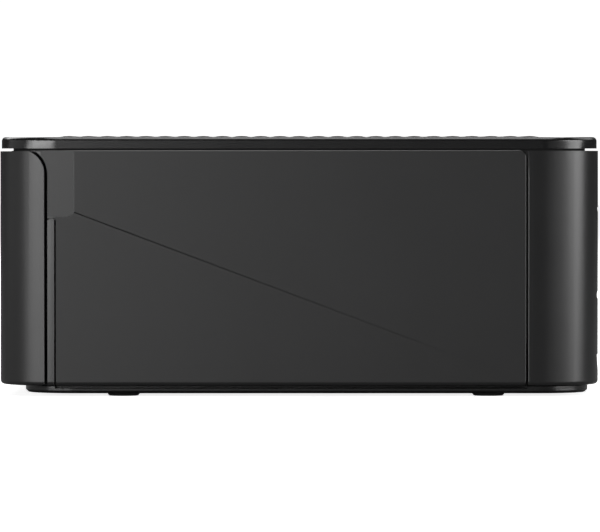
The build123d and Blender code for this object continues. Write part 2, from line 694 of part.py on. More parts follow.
def hinge_tongues():
    """Rounded tongues on the casing that take the hinge pins."""
    tongues = None
    z = (HINGE_Z - TONGUE_R, HINGE_Z + TONGUE_R)
    root = HINGE_STEP + WALL / 2
    hole_r = HINGE_PIN_R + PRESS_FIT
    for side in (-1, 1):
        x = (side * COVER_HINGE_X - TONGUE_WIDTH / 2, side * COVER_HINGE_X + TONGUE_WIDTH / 2)
        tongue = rod_x(x, (COVER_AXIS_Y, HINGE_Z), TONGUE_R)
        tongue += block(x, (COVER_AXIS_Y, COVER_AXIS_Y + root), z)
        tongue -= rod_x((x[0] - 1, x[1] + 1), (COVER_AXIS_Y, HINGE_Z), hole_r)
        tongues = tongue if tongues is None else tongues + tongue
    for middle in DOOR_HINGE_Y:
        y = (middle - TONGUE_WIDTH / 2, middle + TONGUE_WIDTH / 2)
        tongue = rod_y(y, (DOOR_AXIS_X, HINGE_Z), TONGUE_R)
        tongue += block((DOOR_AXIS_X - root, DOOR_AXIS_X), y, z)
        tongue -= rod_y((y[0] - 1, y[1] + 1), (DOOR_AXIS_X, HINGE_Z), hole_r)
        tongues += tongue
    return tongues


def boss_places():
    return [(side * SCREW_X, y) for side in (-1, 1) for y in SCREW_Y]


def screw_bosses():
    """Corner posts that take the tray screws, webbed to the side walls."""
    bosses = None
    for x, y in boss_places():
        boss = rod_z((BOSS_BOTTOM, HINGE_ZONE_TOP + SCREW_LENGTH / 2), (x, y), BOSS_R)
        beside_door = x > 0 and y < DOOR_REAR
        outward = (RECESS_X if beside_door else HALF_W) - WALL / 2
        web_z = (HINGE_ZONE_TOP + WALL / 2, HINGE_ZONE_TOP + SCREW_LENGTH / 2)
        boss += block((x, math.copysign(outward, x)), (y - WALL / 2, y + WALL / 2), web_z)
        bosses = boss if bosses is None else bosses + boss
    return bosses


def port_cut():
    """The paper port through the front frame."""
    return prism_y((-HALF_D - 1, COVER_AXIS_Y + 4 * HINGE_STEP), corners(PORT_X, PORT_Z), 2.0)


def rear_slot_cut():
    """The slot that lets the sheet run out behind while it prints."""
    return prism_y((HALF_D - 3 * WALL, HALF_D + 1), corners(SLOT_X, SLOT_Z), 1.0)


def rear_grooves():
    """Shallow lines across the rear face: a seam, a round lip and a step near the floor."""
    x = (-REAR_GROOVE_HALF, REAR_GROOVE_HALF)
    back, deep = HALF_D + 1, HALF_D - REAR_GROOVE_DEPTH
    seam = prism_x(x, fall_points(deep, back, REAR_SEAM_Z))
    lip_half = (REAR_LIP_Z[1] - REAR_LIP_Z[0]) / 2
    lip_r = (lip_half**2 + REAR_GROOVE_DEPTH**2) / (2 * REAR_GROOVE_DEPTH)
    lip_z = (REAR_LIP_Z[0] + REAR_LIP_Z[1]) / 2
    lip = rod_x(x, (HALF_D + lip_r - REAR_GROOVE_DEPTH, lip_z), lip_r)
    step = prism_x(x, fall_points(deep, back, REAR_STEP_Z))
    return seam + lip + step


def fall_points(deep, back, z):
    """A groove's section, square at its upper edge and running out at its lower one."""
    return [(deep, z[1]), (back, z[1]), (back, z[0]), (HALF_D, z[0])]


def ink_bay_cut():
    """The opening in the recess wall that the ink cassette passes through, and the lever's slot."""
    x = (RECESS_INNER - 1, RECESS_X + 1)
    bay = cassette_profile(x, BAY_GAP)
    flange_y = (TAKEUP_Y - TAKEUP_TUBE_R - FLANGE_REACH - BAY_GAP, TAKEUP_Y)
    flange = block(x, flange_y, flange_height(BAY_GAP))
    slot_y = (LEVER_PAD_Y[0] - LEVER_SLOT_GAP, LEVER_PAD_Y[1] + LEVER_SLOT_GAP)
    slot_z = (LEVER_Z[0] - LEVER_SLOT_GAP_Z, LEVER_Z[1] + LEVER_SLOT_GAP_Z)
    return bay + flange + block(x, slot_y, slot_z)


def flange_height(gap=0.0):
    """How high the cassette's end flange stands beside the take-up tube."""
    middle = (LEVER_Z[0] + LEVER_Z[1]) / 2
    half = (LEVER_Z[1] - LEVER_Z[0]) / 2 + 1.0 + gap
    return (middle - half, middle + half)


def socket_cuts():
    """Holes in the walls for the power inlet, the host socket and the card slot."""
    z = BOARD_TOP
    dc = rod_y((HALF_D - 2 * WALL, HALF_D + 1), (DC_X, z + DC_SIZE[2] / 2), DC_BORE_R + 0.6)
    x = (-HALF_W - 1, -HALF_W + 2 * WALL)
    cuts = dc
    for middle, wide, tall in ((USB_Y, USB_SIZE[1], USB_SIZE[2]), (CARD_Y, CARD_SLOT[0], CARD_SIZE[2])):
        y = (middle - wide / 2 - SOCKET_PLAY, middle + wide / 2 + SOCKET_PLAY)
        cuts += block(x, y, (z - SOCKET_PLAY, z + tall + SOCKET_PLAY))
    return cuts


def vents():
    """Upright slots behind the fan."""
    slots = None
    for index in range(VENT_COUNT):
        x = FAN_X + (index - (VENT_COUNT - 1) / 2) * VENT_PITCH
        slot = block((x - VENT_WIDTH / 2, x + VENT_WIDTH / 2), (HALF_D - 2 * WALL, HALF_D + 1), VENT_Z)
        slots = slot if slots is None else slots + slot
    return slots


def lever_bracket():
    """A shelf with a pin inside the recess wall, for the eject lever."""
    x, y = LEVER_PIVOT
    top = LEVER_Z[0] - END_PLAY
    z = (top - LEVER_BRACKET_THICK, top)
    shelf = block((x, RECESS_INNER + WALL / 2), (y - LEVER_HUB_R, y + LEVER_HUB_R), z)
    shelf += rod_z(z, (x, y), LEVER_HUB_R)
    return shelf + rod_z((top - LEVER_BRACKET_THICK, LEVER_Z[1]), (x, y), LEVER_PIN_R)


def base_tray():
    """The tray under the machine, with a rim inside the casing, posts, ribs and vents."""
    size = (WIDTH - 2 * TRAY_INSET_SIDE, DEPTH - TRAY_INSET_FRONT - TRAY_INSET_REAR)
    at = (0, (TRAY_INSET_FRONT - TRAY_INSET_REAR) / 2)
    tray = plate_z((FOOT_STAND, TRAY_BAND_TOP), at, size, CORNER_R - TRAY_INSET_SIDE)
    tray = chamfer(tray.edges().group_by(Axis.Z)[0], TRAY_BREAK)
    door_y = (DOOR_FRONT - PIECE_GAP, DOOR_REAR + PIECE_GAP)
    tray -= block((DOOR_AXIS_X - HINGE_STEP, WIDTH), door_y, (TRAY_BAND_UNDER_DOOR, HEIGHT))
    tray += tray_rim() + tray_posts()
    for place in boss_places():
        tray -= rod_z((0, HEIGHT), place, SCREW_R + 0.15)
        tray -= rod_z((0, FOOT_STAND + SCREW_HEAD_THICK), place, SCREW_HEAD_R + 0.2)
    seat = grown(FOOT_SIZE, 0.1)
    for place in foot_places():
        tray -= plate_z((0, FOOT_STAND + FOOT_SEAT), place, seat, FOOT_SIZE[1] / 2 - 0.1)
    for index in range(VENT_COUNT):
        y = PLATEN_Y + TRAY_VENT_SHIFT + (index - VENT_COUNT / 2) * VENT_PITCH
        slot = (PRINT_X - TRAY_VENT_HALF, PRINT_X + TRAY_VENT_HALF)
        tray -= block(slot, (y - VENT_WIDTH / 2, y + VENT_WIDTH / 2), (0, FLOOR_Z + 1))
    return tray


def tray_rim():
    """The tray's thicker floor with the rim that stands inside the casing, cut round its neighbours."""
    inner = DOOR_AXIS_X - HINGE_STEP - WALL - TRAY_RIM_GAP
    front = COVER_AXIS_Y + HINGE_STEP + WALL + TRAY_RIM_GAP
    rear = HALF_D - WALL - TRAY_RIM_GAP
    corner = CORNER_R - CORE_WALL
    size = (2 * inner, rear - front)
    at = (0, (rear + front) / 2)
    rim = plate_z((FLOOR_Z - TRAY_FLOOR / 2, TRAY_RIM_TOP), at, size, corner)
    rim -= plate_z((0, HEIGHT), at, grown(size, -TRAY_RIM_THICK), corner - TRAY_RIM_THICK)
    above_board = (BOARD_Z - SOCKET_PLAY, HEIGHT)
    rim -= block(PORT_X, (-DEPTH, front + 2 * TRAY_RIM_THICK), (PORT_Z[0], HEIGHT))
    rim -= block((-WIDTH, IO_BOARD_X[1]), (IO_BOARD_Y[0] - 1, IO_BOARD_Y[1] + 1), above_board)
    main_x = (MAIN_BOARD_X[0] - 1, MAIN_BOARD_X[1] + 1)
    rim -= block(main_x, (rear - 2 * TRAY_RIM_THICK, DEPTH), above_board)
    for place in boss_places():
        rim -= rod_z((FLOOR_Z, HEIGHT), place, BOSS_R + TRAY_RIM_GAP)
    return rim + plate_z((FOOT_STAND + TRAY_FLOOR / 2, FLOOR_Z), at, size, corner)


def grown(size, by):
    return (size[0] + 2 * by, size[1] + 2 * by)


def tray_posts():
    """Board posts, low stiffening ribs and the shoulders round the tray screws."""
    rib_y = (PLATE_Y[0] - 2 * TRAY_RIM_THICK, PLATE_Y[0] - TRAY_RIM_THICK)
    posts = block(PORT_X, rib_y, (FLOOR_Z - 0.5, PORT_Z[0] - 1))
    for x, y in board_posts():
        posts += rod_z((FLOOR_Z - 0.5, BOARD_Z), (x, y), BOARD_POST_R)
    for x, y in boss_places():
        posts += rod_z((FOOT_STAND + TRAY_FLOOR / 2, BOSS_BOTTOM), (x, y), BOSS_R)
    return posts


def board_posts():
    inset = 2 * BOARD_POST_R
    rows = (MAIN_BOARD_Y[0] + inset, MAIN_BOARD_Y[1] - inset)
    main = [(x, y) for x in (MAIN_BOARD_X[0] + inset, MAIN_BOARD_X[1] - inset) for y in rows]
    middle = (IO_BOARD_X[0] + IO_BOARD_X[1]) / 2
    return main + [(middle, y) for y in (IO_BOARD_Y[0] + inset, IO_BOARD_Y[1] - inset)]


def foot_places():
    return [(side * FOOT_X, y) for side in (-1, 1) for y in FOOT_Y]


def rubber_feet():
    feet = []
    for x, y in foot_places():
        foot = plate_z((0, FOOT_STAND + FOOT_SEAT), (x, y), FOOT_SIZE, FOOT_SIZE[1] / 2 - 0.2)
        feet.append(chamfer(foot.edges().group_by(Axis.Z)[0], 0.3))
    return Compound(feet)


def tray_screws():
    """Pan-head screws up through the tray into the casing's posts."""
    screws = []
    low = FOOT_STAND + 0.1
    for x, y in boss_places():
        screw = rod_z((low, FOOT_STAND + SCREW_HEAD_THICK), (x, y), SCREW_HEAD_R)
        screw += rod_z((low + 0.2, BOSS_BOTTOM + SCREW_LENGTH - 1), (x, y), SCREW_R)
        screw -= block((x - 1.4, x + 1.4), (y - 0.3, y + 0.3), (0, low + 0.6))
        screw -= block((x - 0.3, x + 0.3), (y - 1.4, y + 1.4), (0, low + 0.6))
        screws.append(screw)
    return Compound(screws)


# ---- top cover, screen and keys ---------------------------------------------------------------
def key_shapes():
    """Each key's name, outline, place and stem offset."""
    shapes = {"ok_key": (Circle(OK_R), (KEY_X, KEY_Y), (0, 0))}
    for name, turn in (("right_key", 0), ("up_key", 90), ("left_key", 180), ("down_key", 270)):
        middle = (ARROW_R[0] + ARROW_R[1]) / 2
        stem = (middle * math.cos(math.radians(turn)), middle * math.sin(math.radians(turn)))
        shapes[name] = (arrow_outline(turn), (KEY_X, KEY_Y), stem)
    side = RectangleRounded(*SIDE_KEY_SIZE, SIDE_KEY_SIZE[1] / 2 - 0.1)
    left, right = KEY_X - SIDE_KEY_PITCH / 2, KEY_X + SIDE_KEY_PITCH / 2
    shapes["home_key"] = (side, (left, KEY_Y + SIDE_KEY_ROW), (0, 0))
    shapes["edit_key"] = (side, (right, KEY_Y + SIDE_KEY_ROW), (0, 0))
    shapes["back_key"] = (side, (left, KEY_Y - SIDE_KEY_ROW), (0, 0))
    shapes["print_key"] = (side, (right, KEY_Y - SIDE_KEY_ROW), (0, 0))
    shapes["power_key"] = (Circle(POWER_R), (KEY_X, KEY_Y + POWER_ROW), (0, 0))
    return shapes


def arrow_outline(turn, grow=0.0):
    """A quarter of the ring round the OK key, centred on an angle."""
    inner, outer = ARROW_R[0] - grow, ARROW_R[1] + grow
    slack = math.degrees(grow / inner)
    half = ARROW_SWEEP / 2 + slack

    def at(radius, angle):
        return (radius * math.cos(math.radians(angle)), radius * math.sin(math.radians(angle)))

    start, end = turn - half, turn + half
    edges = [
        ThreePointArc(at(inner, start), at(inner, turn), at(inner, end)),
        Line(at(inner, end), at(outer, end)),
        ThreePointArc(at(outer, end), at(outer, turn), at(outer, start)),
        Line(at(outer, start), at(inner, start)),
    ]
    return make_face(edges)


def grown_face(name, face, by):
    """A key's outline made larger all round."""
    if name.split("_")[0] in ("up", "down", "left", "right"):
        turn = {"right": 0, "up": 90, "left": 180, "down": 270}[name.split("_")[0]]
        return arrow_outline(turn, by)
    return offset(face, by)


def key(name, face, at, stem):
    """One key: a cap through the cover, a flange under it and a stem over its switch."""
    top = HEIGHT - KEY_DROP - RIPPLE_HEIGHT
    flange_top = LID_UNDER + LID_SKIN_DROP - KEY_REST_GAP
    flange_low = flange_top - KEY_FLANGE_THICK
    cap = extrude(Plane.XY.offset(flange_top) * Pos(*at) * face, top - flange_top)
    cap = chamfer(cap.edges().group_by(Axis.Z)[-1], KEY_BREAK)
    wide = grown_face(name, face, KEY_FLANGE)
    rim = extrude(Plane.XY.offset(flange_low) * Pos(*at) * wide, KEY_FLANGE_THICK)
    post_at = (at[0] + stem[0], at[1] + stem[1])
    return cap + rim + rod_z((flange_low - KEY_STEM_LENGTH, flange_low + 0.1), post_at, KEY_STEM_R)


def key_board_span():
    """The two corners of the board under the keys."""
    low = KEY_Y - SIDE_KEY_ROW - SIDE_KEY_SIZE[1] / 2 - KEY_BOARD_MARGIN
    high = KEY_Y + POWER_ROW + POWER_R + KEY_BOARD_MARGIN
    return (KEY_X - KEY_BOARD_HALF, KEY_X + KEY_BOARD_HALF), (low, high)


def top_cover():
    """The thin lid plate: rippled top, hollow underside, rim, screen pocket and key holes."""
    plate = case_slab(LID_INSET, (LID_UNDER, HEIGHT - RIPPLE_HEIGHT))
    plate = fillet(plate.edges().group_by(Axis.Z)[-1], EDGE_ROUND)
    plate -= case_slab(FLANGE_DEPTH + 0.4, (0, LID_UNDER + LID_SKIN_DROP))
    rim = case_slab(LID_RIM_INSET, (BODY_TOP, LID_UNDER + 0.2)) - case_slab(FLANGE_DEPTH, (0, HEIGHT))
    plate += rim + ripples()
    at = (SCREEN_X, SCREEN_Y)
    floor = HEIGHT - RIPPLE_HEIGHT - WINDOW_THICK
    plate -= plate_z((floor, HEIGHT + 1), at, grown(WINDOW_SIZE, WINDOW_FIT), WINDOW_R)
    plate -= plate_z((0, HEIGHT), at, screen_view(), WINDOW_R / 2)
    for name, (face, place, stem) in key_shapes().items():
        hole = grown_face(name, face, KEY_FIT)
        plate -= extrude(Plane.XY.offset(LID_UNDER - 1) * Pos(*place) * hole, LID_THICK + 2)
    for place in post_places():
        plate += rod_z((KEY_BOARD_TOP, HEIGHT - RIPPLE_HEIGHT - 1), place, POST_R)
    return plate + snap_tabs()


def screen_view():
    """The size of the part of the window that the display shows through."""
    return (WINDOW_SIZE[0] - 2 * VIEW_INSET[0], WINDOW_SIZE[1] - 2 * VIEW_INSET[1])


def key_pad_area():
    x, y = key_board_span()
    return block((x[0] + 2, x[1] - 2), (y[0] + 2, y[1] - 2), (0, 2 * HEIGHT))


def ripples():
    """Low round ridges along X over the cover, left off the key area."""
    count = int(RIPPLE_LENGTH / RIPPLE_PITCH)
    chord = RIPPLE_PITCH
    ridge_r = ((chord / 2) ** 2 + RIPPLE_HEIGHT**2) / (2 * RIPPLE_HEIGHT)
    top = HEIGHT - RIPPLE_HEIGHT
    half_x = HALF_W - LID_INSET - CORNER_R / 2
    ridges = []
    for index in range(count):
        y = (index - (count - 1) / 2) * RIPPLE_PITCH
        start, end = (y - chord / 2, top - 0.3), (y + chord / 2, top - 0.3)
        edges = [
            Line(start, (start[0], top)),
            ThreePointArc((start[0], top), (y, HEIGHT), (end[0], top)),
            Line((end[0], top), end),
            Line(end, start),
        ]
        ridges.append(extrude(Plane.YZ.offset(-half_x) * make_face(edges), 2 * half_x))
    field = ridges[0].fuse(*ridges[1:])
    return field - key_pad_area()


def post_places():
    """Posts under the cover that carry the key board."""
    x, y = key_board_span()
    return [(px, py) for px in (x[0] + 2.5, x[1] - 2.5) for py in (y[0] + 2.5, y[1] - 2.5)]


def tab_faces():
    """The outer face of each snap tab: which axis it faces along, which way, and its middle."""
    sides = [("x", side, y) for side in (-1, 1) for y in (-TAB_Y, TAB_Y)]
    return sides + [("y", side, x) for side in (-1, 1) for x in (-TAB_X, TAB_X)]


def tab_block(face, inward, outward, gap=0.0):
    """The X and Y spans of a tab that reaches inward and outward from its outer face."""
    axis, side, middle = face
    half = HALF_W if axis == "x" else HALF_D
    plane = side * (half - FLANGE_DEPTH - TAB_CLEAR)
    across = (plane - side * inward, plane + side * outward)
    along = (middle - TAB_WIDTH / 2 - gap, middle + TAB_WIDTH / 2 + gap)
    return (across, along) if axis == "x" else (along, across)


def tab_hooks(gap=0.0):
    """The spans of the hooks at the tabs' lower ends, grown by a gap."""
    return [tab_block(face, TAB_THICK / 2, TAB_BITE + gap, gap) for face in tab_faces()]


def snap_tabs():
    """Hooked tabs that hold the cover under the casing's flange."""
    tabs = None
    for face, (hook_x, hook_y) in zip(tab_faces(), tab_hooks()):
        tab_x, tab_y = tab_block(face, TAB_THICK, 0.0)
        tab = block(tab_x, tab_y, (TAB_LOW, LID_UNDER + LID_SKIN_DROP + 0.1))
        tab += block(hook_x, hook_y, (TAB_LOW, TAB_LOW + TAB_HOOK))
        tabs = tab if tabs is None else tabs + tab
    return tabs


def screen_window():
    top = HEIGHT - RIPPLE_HEIGHT
    return plate_z((top - WINDOW_THICK, top), (SCREEN_X, SCREEN_Y), WINDOW_SIZE, WINDOW_R - WINDOW_FIT)


def screen_module():
    """The display: a glass block in a metal back tray."""
    top = LID_UNDER + LID_SKIN_DROP - SCREEN_GAP
    at = (SCREEN_X, SCREEN_Y)
    size = (WINDOW_SIZE[0] - 2 * MODULE_INSET[0], WINDOW_SIZE[1] - 2 * MODULE_INSET[1])
    body = plate_z((top - SCREEN_THICK, top), at, size, 1.0)
    return body - plate_z((top - SCREEN_SINK, top + 1), at, grown(screen_view(), -0.5), 0.8)


def key_board():
    """The board under the keys, with one switch under each stem."""
    x, y = key_board_span()
    low = KEY_BOARD_TOP - KEY_BOARD_THICK
    board = block(x, y, (low, KEY_BOARD_TOP))
    half = SWITCH_SIZE / 2
    for face, place, stem in key_shapes().values():
        sx, sy = place[0] + stem[0], place[1] + stem[1]
        across, along = (sx - half, sx + half), (sy - half, sy + half)
        board += block(across, along, (KEY_BOARD_TOP - 0.1, SWITCH_TOP - SWITCH_CAP))
        board += rod_z((KEY_BOARD_TOP, SWITCH_TOP), (sx, sy), SWITCH_SIZE * 0.3)
    return board


# ---- chassis ----------------------------------------------------------------------------------
def plate_face(x):
    """The outline of a chassis side plate, standing on the tray."""
    shoulder = PLATE_TOP - 8.0
    points = [
        (PLATE_Y[0], FLOOR_Z),
        (PLATE_Y[1], FLOOR_Z),
        (PLATE_Y[1], shoulder),
        (BRIDGE_Y[1], PLATE_TOP),
        (BRIDGE_Y[0], PLATE_TOP),
        (PLATE_Y[0], shoulder),
    ]
    plate = prism_x(x, points, [0, 0, 3, 3, 3, 3])
    near = PLATE_Y[0] + 14.0
    far = near + PLATE_FOOT_GAP
    gap = [
        (near, FLOOR_Z - 1),
        (far, FLOOR_Z - 1),
        (far - 3.0, PLATE_FOOT_TOP),
        (near + 3.0, PLATE_FOOT_TOP),
    ]
    return plate - prism_x(x, gap, 1.0)


def shared_plate_holes(x):
    """What both plates carry: bushes, the head's guide slot and three cross shafts."""
    holes = rod_x(x, CAPSTAN_AT, BUSH_R) + rod_x(x, (PLATEN_Y, PLATEN_Z), BUSH_R)
    holes += rod_x(x, (CAPSTAN_Y, PINCH_Z), PINCH_SHAFT_R + RUN_FIT)
    holes += rod_x(x, PICK_ARM_PIVOT, PICK_SHAFT_R + PRESS_FIT)
    holes += rod_x(x, (LIFT_SHAFT_Y, LIFT_SHAFT_Z), LIFT_SHAFT_R + RUN_FIT)
    half = HEAD_PIN_R + 0.1
    low = HEAD_PIN_Z[0] - HEAD_TRAVEL - 0.2
    high = HEAD_PIN_Z[1] + 0.2
    slot = block(x, (PLATEN_Y - half, PLATEN_Y + half), (low, high))
    return holes + slot + rod_x(x, (PLATEN_Y, low), half) + rod_x(x, (PLATEN_Y, high), half)


def chassis_plate_left():
    x = (PLATE_LEFT - PLATE_THICK, PLATE_LEFT)
    cut = (x[0] - 1, x[1] + 1)
    plate = plate_face(x) - shared_plate_holes(cut)
    for at in (TAKEUP_AT, SUPPLY_AT):
        plate -= rod_x(cut, at, SPINDLE_SHAFT_R + RUN_FIT)
    return plate - rod_x(cut, REDUCER_AT, PICK_SHAFT_R + PRESS_FIT)


def chassis_plate_right():
    x = (PLATE_RIGHT, PLATE_RIGHT + PLATE_THICK)
    cut = (x[0] - 1, x[1] + 1)
    return plate_face(x) - shared_plate_holes(cut) - cassette_profile(cut, BAY_GAP)


def chassis_bridge():
    """The cross plate that ties the side plates, with lightening holes and folded edges."""
    x = (PLATE_LEFT - PLATE_THICK, PLATE_RIGHT + PLATE_THICK)
    front, rear = BRIDGE_Y[0] + BRIDGE_EDGE, BRIDGE_Y[1] - BRIDGE_EDGE
    bridge = block(x, (front, rear), (PLATE_TOP, BRIDGE_TOP))
    inside = (PLATE_LEFT + 0.1, PLATE_RIGHT - 0.1)
    for y in (front, rear - PLATE_THICK):
        bridge += block(inside, (y, y + PLATE_THICK), (PLATE_TOP - BRIDGE_LIP, BRIDGE_TOP))
    middle = (front + rear) / 2
    for index in range(BRIDGE_WINDOWS):
        px = PRINT_X + (index - (BRIDGE_WINDOWS - 1) / 2) * BRIDGE_WINDOW_PITCH
        bridge -= plate_z((0, HEIGHT), (px, middle), BRIDGE_WINDOW, 3.0)
    return bridge


def motor_bracket():
    """The upright plate that holds both motors and the far end of the gear axle."""
    x = (BRACKET_LEFT, BRACKET_RIGHT)
    low_y = FEED_MOTOR_AT[0] - FEED_MOTOR_R
    high_y = RIBBON_MOTOR_AT[0] + RIBBON_MOTOR_R + 2
    top = FEED_MOTOR_AT[1] + FEED_MOTOR_R + 1
    points = [(low_y, FLOOR_Z), (high_y, FLOOR_Z), (high_y, top), (low_y, top)]
    plate = prism_x(x, points, [0, 0, 3, 3])
    for at in (FEED_MOTOR_AT, RIBBON_MOTOR_AT):
        plate -= rod_x((x[0] - 1, x[1] + 1), at, MOTOR_BOSS_R + 0.1)
    wide, tall = BRACKET_WINDOW
    z = (BRACKET_WINDOW_Z - tall / 2, BRACKET_WINDOW_Z + tall / 2)
    for index in range(BRACKET_WINDOWS):
        middle = (low_y + high_y) / 2 + (index - (BRACKET_WINDOWS - 1) / 2) * BRACKET_WINDOW_PITCH
        window = corners((middle - wide / 2, middle + wide / 2), z)
        plate -= prism_x((x[0] - 1, x[1] + 1), window, 2.0)
    return plate + rod_x((BRACKET_LEFT, PLATE_LEFT), REDUCER_AT, PICK_SHAFT_R)


def paper_deck():
    """The guide that carries the sheet, ribbed on top, open over the platen."""
    x = (PLATE_LEFT + 0.1, PLATE_RIGHT - 0.1)
    front = CAPSTAN_Y + CAPSTAN_R + 1.5
    rear = HALF_D - WALL - 3.0
    deck = block(x, (front, rear), (DECK_TOP - DECK_THICK, DECK_TOP))
    gap = PLATEN_R + DECK_ROLLER_GAP
    window = (PAPER_LEFT - 3 - DECK_ROLLER_GAP, PAPER_RIGHT + 3 + DECK_ROLLER_GAP)
    deck -= block(window, (PLATEN_Y - gap, PLATEN_Y + gap), (0, HEIGHT))
    low = DECK_TOP - DECK_THICK
    for index in range(DECK_RIBS):
        middle = PRINT_X + (index - (DECK_RIBS - 1) / 2) * DECK_RIB_PITCH
        rib_x = (middle - 0.5, middle + 0.5)
        for span in ((front + 1, PLATEN_Y - gap - 0.5), (PLATEN_Y + gap + 0.5, rear - 1)):
            deck += block(rib_x, span, (DECK_TOP - 0.1, DECK_TOP + 0.3))
            deck += block(rib_x, span, (low - 0.8, low + 0.1))
    return deck


def roller_bushes():
    """Flanged bushes in the plates, two for the capstan and two for the platen."""
    bushes = []
    for at in (CAPSTAN_AT, (PLATEN_Y, PLATEN_Z)):
        for inner, way in ((PLATE_LEFT, -1), (PLATE_RIGHT, 1)):
            outer = inner + way * PLATE_THICK
            bush = rod_x((inner, outer), at, BUSH_R - PRESS_FIT)
            bush += rod_x((outer, outer + way * BUSH_FLANGE), at, BUSH_FLANGE_R)
            bushes.append(bush - rod_x((inner - way, outer + 2 * way), at, SHAFT_R + RUN_FIT))
    return Compound(bushes)


# ---- rollers ----------------------------------------------------------------------------------
def shaft_span(beyond):
    return (PLATE_LEFT - PLATE_THICK - beyond, PLATE_RIGHT + PLATE_THICK + beyond)


def capstan_roller():
    """The steel roller that draws the sheet: a fine roller between two journals."""
    left = (GEAR_A_LEFT, PLATE_LEFT)
    right = (PLATE_RIGHT, PLATE_RIGHT + PLATE_THICK + BUSH_FLANGE + 1)
    roller = rod_x((PAPER_LEFT - 2, PAPER_RIGHT + 2), CAPSTAN_AT, CAPSTAN_R)
    return roller + rod_x((left[0], right[1]), CAPSTAN_AT, SHAFT_R)


def pinch_roller():
    at = (CAPSTAN_Y, PINCH_Z)
    roller = rod_x(shaft_span(0.5), at, PINCH_SHAFT_R)
    for index in (-1, 0, 1):
        middle = PRINT_X + index * PINCH_PITCH
        roller += rod_x((middle - PINCH_HALF, middle + PINCH_HALF), at, PINCH_R)
    return roller


def platen_shaft():
    at = (PLATEN_Y, PLATEN_Z)
    core = rod_x((PAPER_LEFT - 3, PAPER_RIGHT + 3), at, PLATEN_CORE_R)
    return core + rod_x(shaft_span(BUSH_FLANGE + 1), at, SHAFT_R)


def platen_sleeve():
    x = (PAPER_LEFT - 2.5, PAPER_RIGHT + 2.5)
    return tube_x(x, (PLATEN_Y, PLATEN_Z), PLATEN_R, PLATEN_CORE_R + PRESS_FIT)


def pickup_shaft():
    return rod_x(shaft_span(0.5), PICK_ARM_PIVOT, PICK_SHAFT_R)


def pickup_cheeks():
    """The X spans of the pick-up arm's two side plates."""
    half = PICK_ROLLER_WIDTH / 2 + END_PLAY
    return [(PRINT_X + side * half, PRINT_X + side * (half + PICK_ARM_THICK)) for side in (-1, 1)]


def pickup_arm():
    """The swinging arm that lets the pick-up roller down on the stack."""
    arm = None
    (py, pz), (ry, rz) = PICK_ARM_PIVOT, PICK_ROLLER_AT
    long = math.hypot(ry - py, rz - pz)
    ny, nz = -(rz - pz) / long * 3.0, (ry - py) / long * 3.0
    for x in pickup_cheeks():
        sides = [(py + ny, pz + nz), (ry + ny, rz + nz), (ry - ny, rz - nz), (py - ny, pz - nz)]
        cheek = prism_x(x, sides) + rod_x(x, PICK_ARM_PIVOT, 3.0) + rod_x(x, PICK_ROLLER_AT, 3.0)
        arm = cheek if arm is None else arm + cheek
    ends = (pickup_cheeks()[0][1], pickup_cheeks()[1][1])
    arm += rod_x(ends, PICK_ARM_PIVOT, 3.0)
    arm -= rod_x((ends[0] - 1, ends[1] + 1), PICK_ARM_PIVOT, PICK_SHAFT_R + RUN_FIT)
    return arm - rod_x((ends[0] - 1, ends[1] + 1), PICK_ROLLER_AT, PICK_SHAFT_R + RUN_FIT)


def pickup_roller():
    """The rubber tyre on its hub, with the axle that turns in the arm."""
    half = PICK_ROLLER_WIDTH / 2
    x = (PRINT_X - half, PRINT_X + half)
    tyre = rod_x(x, PICK_ROLLER_AT, PICK_ROLLER_R)
    for side in (-1, 1):
        face = PRINT_X + side * half
        groove = tube_x((face, face - side * 1.5), PICK_ROLLER_AT, PICK_ROLLER_R - 1.4, 2.6)
        tyre -= groove
    reach = half + END_PLAY + PICK_ARM_THICK + 0.3
    return tyre + rod_x((PRINT_X - reach, PRINT_X + reach), PICK_ROLLER_AT, PICK_SHAFT_R)


# ---- thermal head -----------------------------------------------------------------------------
def head_sink_span():
    inset = HEAD_CHEEK_GAP + HEAD_CHEEK_THICK
    return (PLATE_LEFT + inset, PLATE_RIGHT - inset)


def thermal_head():
    """The ceramic plate with its heater bead along the lower face."""
    low = HEAD_RAISED_Z + 0.4
    plate = block(HEAD_LOW_SPAN, (HEAD_FRONT, HEAD_REAR), (low, HEAD_RAISED_Z + HEAD_PLATE_THICK))
    at = (PLATEN_Y, HEAD_RAISED_Z + HEAD_BEAD_R)
    return plate + rod_x((PAPER_LEFT, PAPER_RIGHT), at, HEAD_BEAD_R)


def head_sink():
    """The finned aluminium bar behind the head."""
    x = head_sink_span()
    low = HEAD_RAISED_Z + HEAD_PLATE_THICK
    sink = block(HEAD_LOW_SPAN, (HEAD_FRONT, HEAD_REAR), (low, HEAD_CHEEK_LOW + HEAD_BASE_THICK))
    pitch = (HEAD_WIDTH - HEAD_FIN_THICK) / (HEAD_FIN_COUNT - 1)
    for index in range(HEAD_FIN_COUNT):
        y = HEAD_FRONT + index * pitch
        sink += block(x, (y, y + HEAD_FIN_THICK), (HEAD_CHEEK_LOW, HEAD_FIN_TOP))
    return sink


